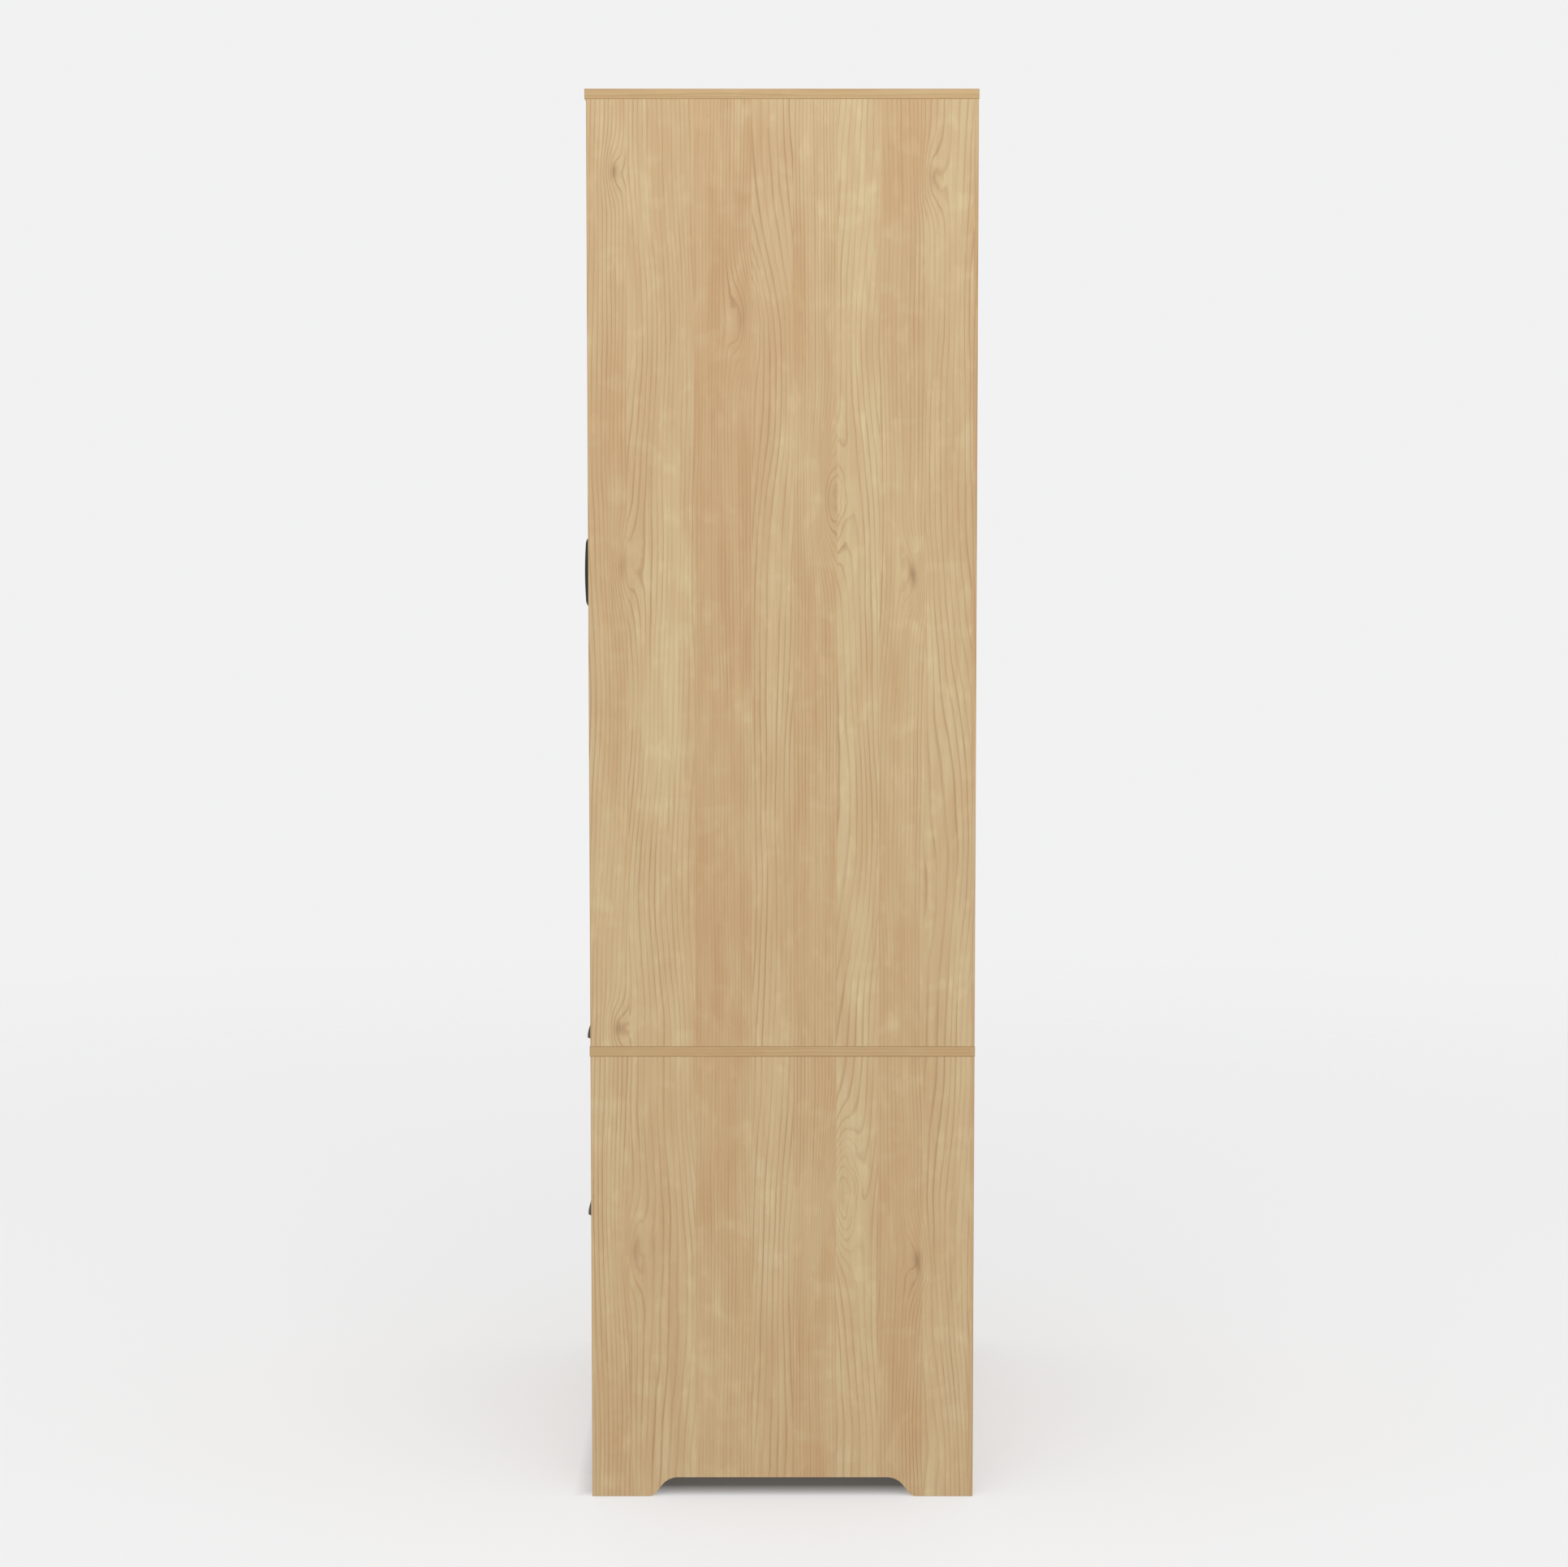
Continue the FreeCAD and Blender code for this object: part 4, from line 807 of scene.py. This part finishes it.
def buildScrewTree():
    # heads with a cross recess on shanks, one at every point, each turned by a random amount
    group = bpy.data.node_groups.new("screws", "GeometryNodeTree")
    face = group.interface
    face.new_socket("Geometry", in_out="INPUT", socket_type="NodeSocketGeometry")
    for label, value in screwSizes.items():
        face.new_socket(label, in_out="INPUT", socket_type="NodeSocketFloat").default_value = value
    face.new_socket("Seed", in_out="INPUT", socket_type="NodeSocketInt").default_value = 1
    face.new_socket("Material", in_out="INPUT", socket_type="NodeSocketMaterial")
    face.new_socket("Geometry", in_out="OUTPUT", socket_type="NodeSocketGeometry")
    tree = Tree(group)
    entry = tree.node("NodeGroupInput").outputs
    leave = tree.node("NodeGroupOutput").inputs

    def cone(bottom, top, height, start):
        made = tree.node("GeometryNodeMeshCone")
        made.inputs["Vertices"].default_value = screwSides
        tree.feed(made.inputs["Radius Bottom"], bottom)
        tree.feed(made.inputs["Radius Top"], top)
        tree.feed(made.inputs["Depth"], height)
        moved = tree.node("GeometryNodeTransform")
        tree.feed(moved.inputs["Geometry"], made.outputs["Mesh"])
        tree.feed(moved.inputs["Translation"], tree.vector(0, 0, start))
        return moved.outputs[0]

    def slotCutter(width, length):
        # centred on the top of the head, so half of its height cuts
        made = tree.node("GeometryNodeMeshCube")
        height = tree.math("MULTIPLY", entry["Recess Depth"], 2)
        tree.feed(made.inputs["Size"], tree.vector(width, length, height))
        moved = tree.node("GeometryNodeTransform")
        tree.feed(moved.inputs["Geometry"], made.outputs["Mesh"])
        tree.feed(moved.inputs["Translation"], tree.vector(0, 0, entry["Head Height"]))
        return moved.outputs[0]

    rimHeight = tree.math("SUBTRACT", entry["Head Height"], entry["Crown Height"])
    union = tree.node("GeometryNodeMeshBoolean", operation="UNION")
    for part in (
        cone(entry["Base Radius"], entry["Head Radius"], rimHeight, 0.0),
        cone(entry["Head Radius"], entry["Rim Radius"], entry["Crown Height"], rimHeight),
        cone(entry["Shank Radius"], entry["Shank Radius"], entry["Shank Length"],
             tree.math("MULTIPLY", entry["Shank Length"], -1)),
    ):
        tree.tree.links.new(part, union.inputs["Mesh 2"])
    cut = tree.node("GeometryNodeMeshBoolean", operation="DIFFERENCE")
    tree.feed(cut.inputs["Mesh 1"], union.outputs[0])
    for part in (slotCutter(entry["Recess Span"], entry["Recess Width"]),
                 slotCutter(entry["Recess Width"], entry["Recess Span"])):
        tree.tree.links.new(part, cut.inputs["Mesh 2"])

    facing = tree.node("GeometryNodeInputNamedAttribute", data_type="FLOAT_VECTOR")
    facing.inputs["Name"].default_value = "facing"
    aimed = tree.node("FunctionNodeAlignRotationToVector", axis="Z")
    tree.feed(aimed.inputs["Vector"], facing.outputs[0])
    chance = tree.node("FunctionNodeRandomValue", data_type="FLOAT")
    chance.inputs[3].default_value = math.pi / 2
    tree.feed(chance.inputs["Seed"], entry["Seed"])
    spin = tree.node("FunctionNodeAxisAngleToRotation")
    spin.inputs["Axis"].default_value = (0, 0, 1)
    tree.feed(spin.inputs["Angle"], chance.outputs[1])
    turned = tree.node("FunctionNodeRotateRotation", rotation_space="LOCAL")
    tree.feed(turned.inputs[0], aimed.outputs[0])
    tree.feed(turned.inputs[1], spin.outputs[0])

    placed = tree.node("GeometryNodeInstanceOnPoints")
    tree.feed(placed.inputs["Points"], entry["Geometry"])
    tree.feed(placed.inputs["Instance"], cut.outputs[0])
    tree.feed(placed.inputs["Rotation"], turned.outputs[0])
    real = tree.node("GeometryNodeRealizeInstances")
    tree.feed(real.inputs[0], placed.outputs[0])
    coated = tree.node("GeometryNodeSetMaterial")
    tree.feed(coated.inputs["Geometry"], real.outputs[0])
    tree.feed(coated.inputs["Material"], entry["Material"])
    tree.feed(leave["Geometry"], coated.outputs[0])
    return group


panScrew = {"Head Height": 0.0022, "Crown Height": 0.0008, "Rim Radius": 0.0033}
flatScrew = {
    "Head Height": 0.0012,
    "Base Radius": 0.0019,
    "Crown Height": 0.0001,
    "Rim Radius": 0.0039,
    "Recess Depth": 0.0008,
}
# each node of screws: its body, the axis that they lie along, where the heads face, and their kind;
# heads face the cabinet's back, outward from the cabinet's middle, or inward to it
screwNodes = {
    "door_pull_screws_right": ("door_right", 1, "back", panScrew),
    "door_pull_screws_left": ("door_left", 1, "back", panScrew),
    "drawer_upper_pull_screws": ("drawer_upper", 1, "back", panScrew),
    "drawer_lower_pull_screws": ("drawer_lower", 1, "back", panScrew),
    "drawer_upper_screws": ("drawer_upper", 0, "outward", panScrew),
    "drawer_lower_screws": ("drawer_lower", 0, "outward", panScrew),
    "runner_screws": ("carcass", 0, "inward", flatScrew),
}
firstScrewSeed = 3


def headDirection(heads, place):
    if heads == "back":
        return 1
    outward = 1 if place > 0 else -1
    return outward if heads == "outward" else -outward


def buildScrews(node, body, axis, heads, kind, seed):
    places, facings = [], []
    for low, high in looseParts(node):
        middle = (low + high) / 2
        direction = headDirection(heads, middle[axis])
        facing = Vector((0, 0, 0))
        facing[axis] = direction
        headEnd = high[axis] if direction > 0 else low[axis]
        middle[axis] = headEnd - direction * kind["Head Height"]
        places.append(middle)
        facings.append(facing)
    # the screws of a node are all as long as the last one
    length = high[axis] - low[axis] - kind["Head Height"]
    mesh = bpy.data.meshes.new(f"{node}Places")
    mesh.from_pydata(places, [], [])
    attribute = mesh.attributes.new("facing", "FLOAT_VECTOR", "POINT")
    for index, facing in enumerate(facings):
        attribute.data[index].vector = facing
    points = newObject(f"{node}Places", mesh)
    modifier = points.modifiers.new("screws", "NODES")
    modifier.node_group = screwTree
    values = {**kind, "Shank Length": length, "Seed": seed, "Material": slotMaterials["zinc"]}
    for item in screwTree.interface.items_tree:
        if item.in_out == "INPUT" and item.name in values:
            modifier[item.identifier] = values[item.name]
    made = newObject(f"{node}Built", bakedMesh(f"{node}Built", points))
    finishPiece(made, node, body)


for hand in ("right", "left"):
    buildBarPull(f"barPull{hand.title()}", f"door_pull_{hand}", f"door_{hand}")
for level in ("upper", "lower"):
    buildCupPull(f"cupPull{level.title()}", f"drawer_{level}_pull", f"drawer_{level}")
print("pulls built")

screwTree = buildScrewTree()
for seed, (node, (body, axis, heads, kind)) in enumerate(screwNodes.items(), start=firstScrewSeed):
    buildScrews(node, body, axis, heads, kind, seed)
print("screws built")


shot = {
    "aside": 4.75,       # from the cabinet's middle, metres
    "along": 0.0147,
    "eye": 1.34,
    "pitch": 4.70,       # degrees below level
    "lens": 77.56,
    "sensor": 36.0,
    "rise": -0.02,       # of the lens, as a share of the frame
}
cameraData = bpy.data.cameras.new("camera")
cameraData.lens = shot["lens"]
cameraData.sensor_width = shot["sensor"]
cameraData.shift_y = shot["rise"]
camera = newObject("camera", cameraData)
camera.location = (shot["aside"], shot["along"], shot["eye"])
camera.rotation_euler = (math.radians(90 - shot["pitch"]), 0, math.radians(90))
scene.camera = camera
scene.view_settings.view_transform = "Standard"

studioLook = {
    "colour": (0.885, 0.885, 0.887, 1),
    "strength": 1.0,
}
world = bpy.data.worlds.new("studio")
world.use_nodes = True
background = world.node_tree.nodes["Background"]
background.inputs["Color"].default_value = studioLook["colour"]
background.inputs["Strength"].default_value = studioLook["strength"]
scene.world = world

overhead = {
    "place": Vector((2.6, 0.0, 4.4)),
    "target": Vector((0.3, 0.0, 1.3)),
    "size": 3.0,
    "power": 70,
}
lamp = bpy.data.lights.new("overhead", "AREA")
lamp.shape = "SQUARE"
lamp.size = overhead["size"]
lamp.energy = overhead["power"]
light = newObject("overhead", lamp)
light.location = overhead["place"]
light.rotation_euler = (overhead["target"] - overhead["place"]).to_track_quat("-Z", "Y").to_euler()

floorLook = {
    "radius": 9.0,
    "sides": 96,
    "drop": 0.0002,      # below the feet
    "fadeStart": 2.2,
    "fadeEnd": 4.6,
    "colour": (0.40, 0.40, 0.405, 1),
    "roughness": 0.8,
    "specular": 0.1,
    "glow": 0.45,
    "darkFrom": -0.05,   # metres inside the footprint at which the glow is least
    "leastGlow": 0.14,   # as a share of the full glow
}
floorMesh = bpy.data.meshes.new("floor")
sketch = bmesh.new()
bmesh.ops.create_circle(sketch, cap_ends=True, segments=floorLook["sides"], radius=floorLook["radius"])
sketch.to_mesh(floorMesh)
sketch.free()
floor = newObject("floor", floorMesh)
floor.location = (0, 0, -floorLook["drop"])
floorMaterial, tree, shader, spot = startMaterial("floorPale")
shader.inputs["Base Color"].default_value = floorLook["colour"]
shader.inputs["Roughness"].default_value = floorLook["roughness"]
shader.inputs["Specular IOR Level"].default_value = floorLook["specular"]
distance = tree.node("ShaderNodeVectorMath", operation="LENGTH")
tree.feed(distance.inputs[0], spot.outputs["Object"])
solid = tree.mapped(distance.outputs["Value"], floorLook["fadeStart"], floorLook["fadeEnd"], 1, 0)
tree.feed(shader.inputs["Alpha"], solid)
# a little light of the floor's own softens the shadows, and stops where the cabinet stands
floorPlace = tree.split(spot.outputs["Object"])
outsideX = tree.math("SUBTRACT", tree.math("ABSOLUTE", floorPlace[0]), cadBox[1].x)
outsideY = tree.math("SUBTRACT", tree.math("ABSOLUTE", floorPlace[1]), cadBox[1].y)
outside = tree.math("MAXIMUM", outsideX, outsideY)
lit = tree.mapped(outside, floorLook["darkFrom"], 0, floorLook["leastGlow"], 1)
tree.feed(shader.inputs["Emission Color"], tree.mixColour(lit, (0, 0, 0, 1), (1, 1, 1, 1)))
shader.inputs["Emission Strength"].default_value = floorLook["glow"]
floorMesh.materials.append(floorMaterial)
print("stage set")

scene.view_layers[0].update()
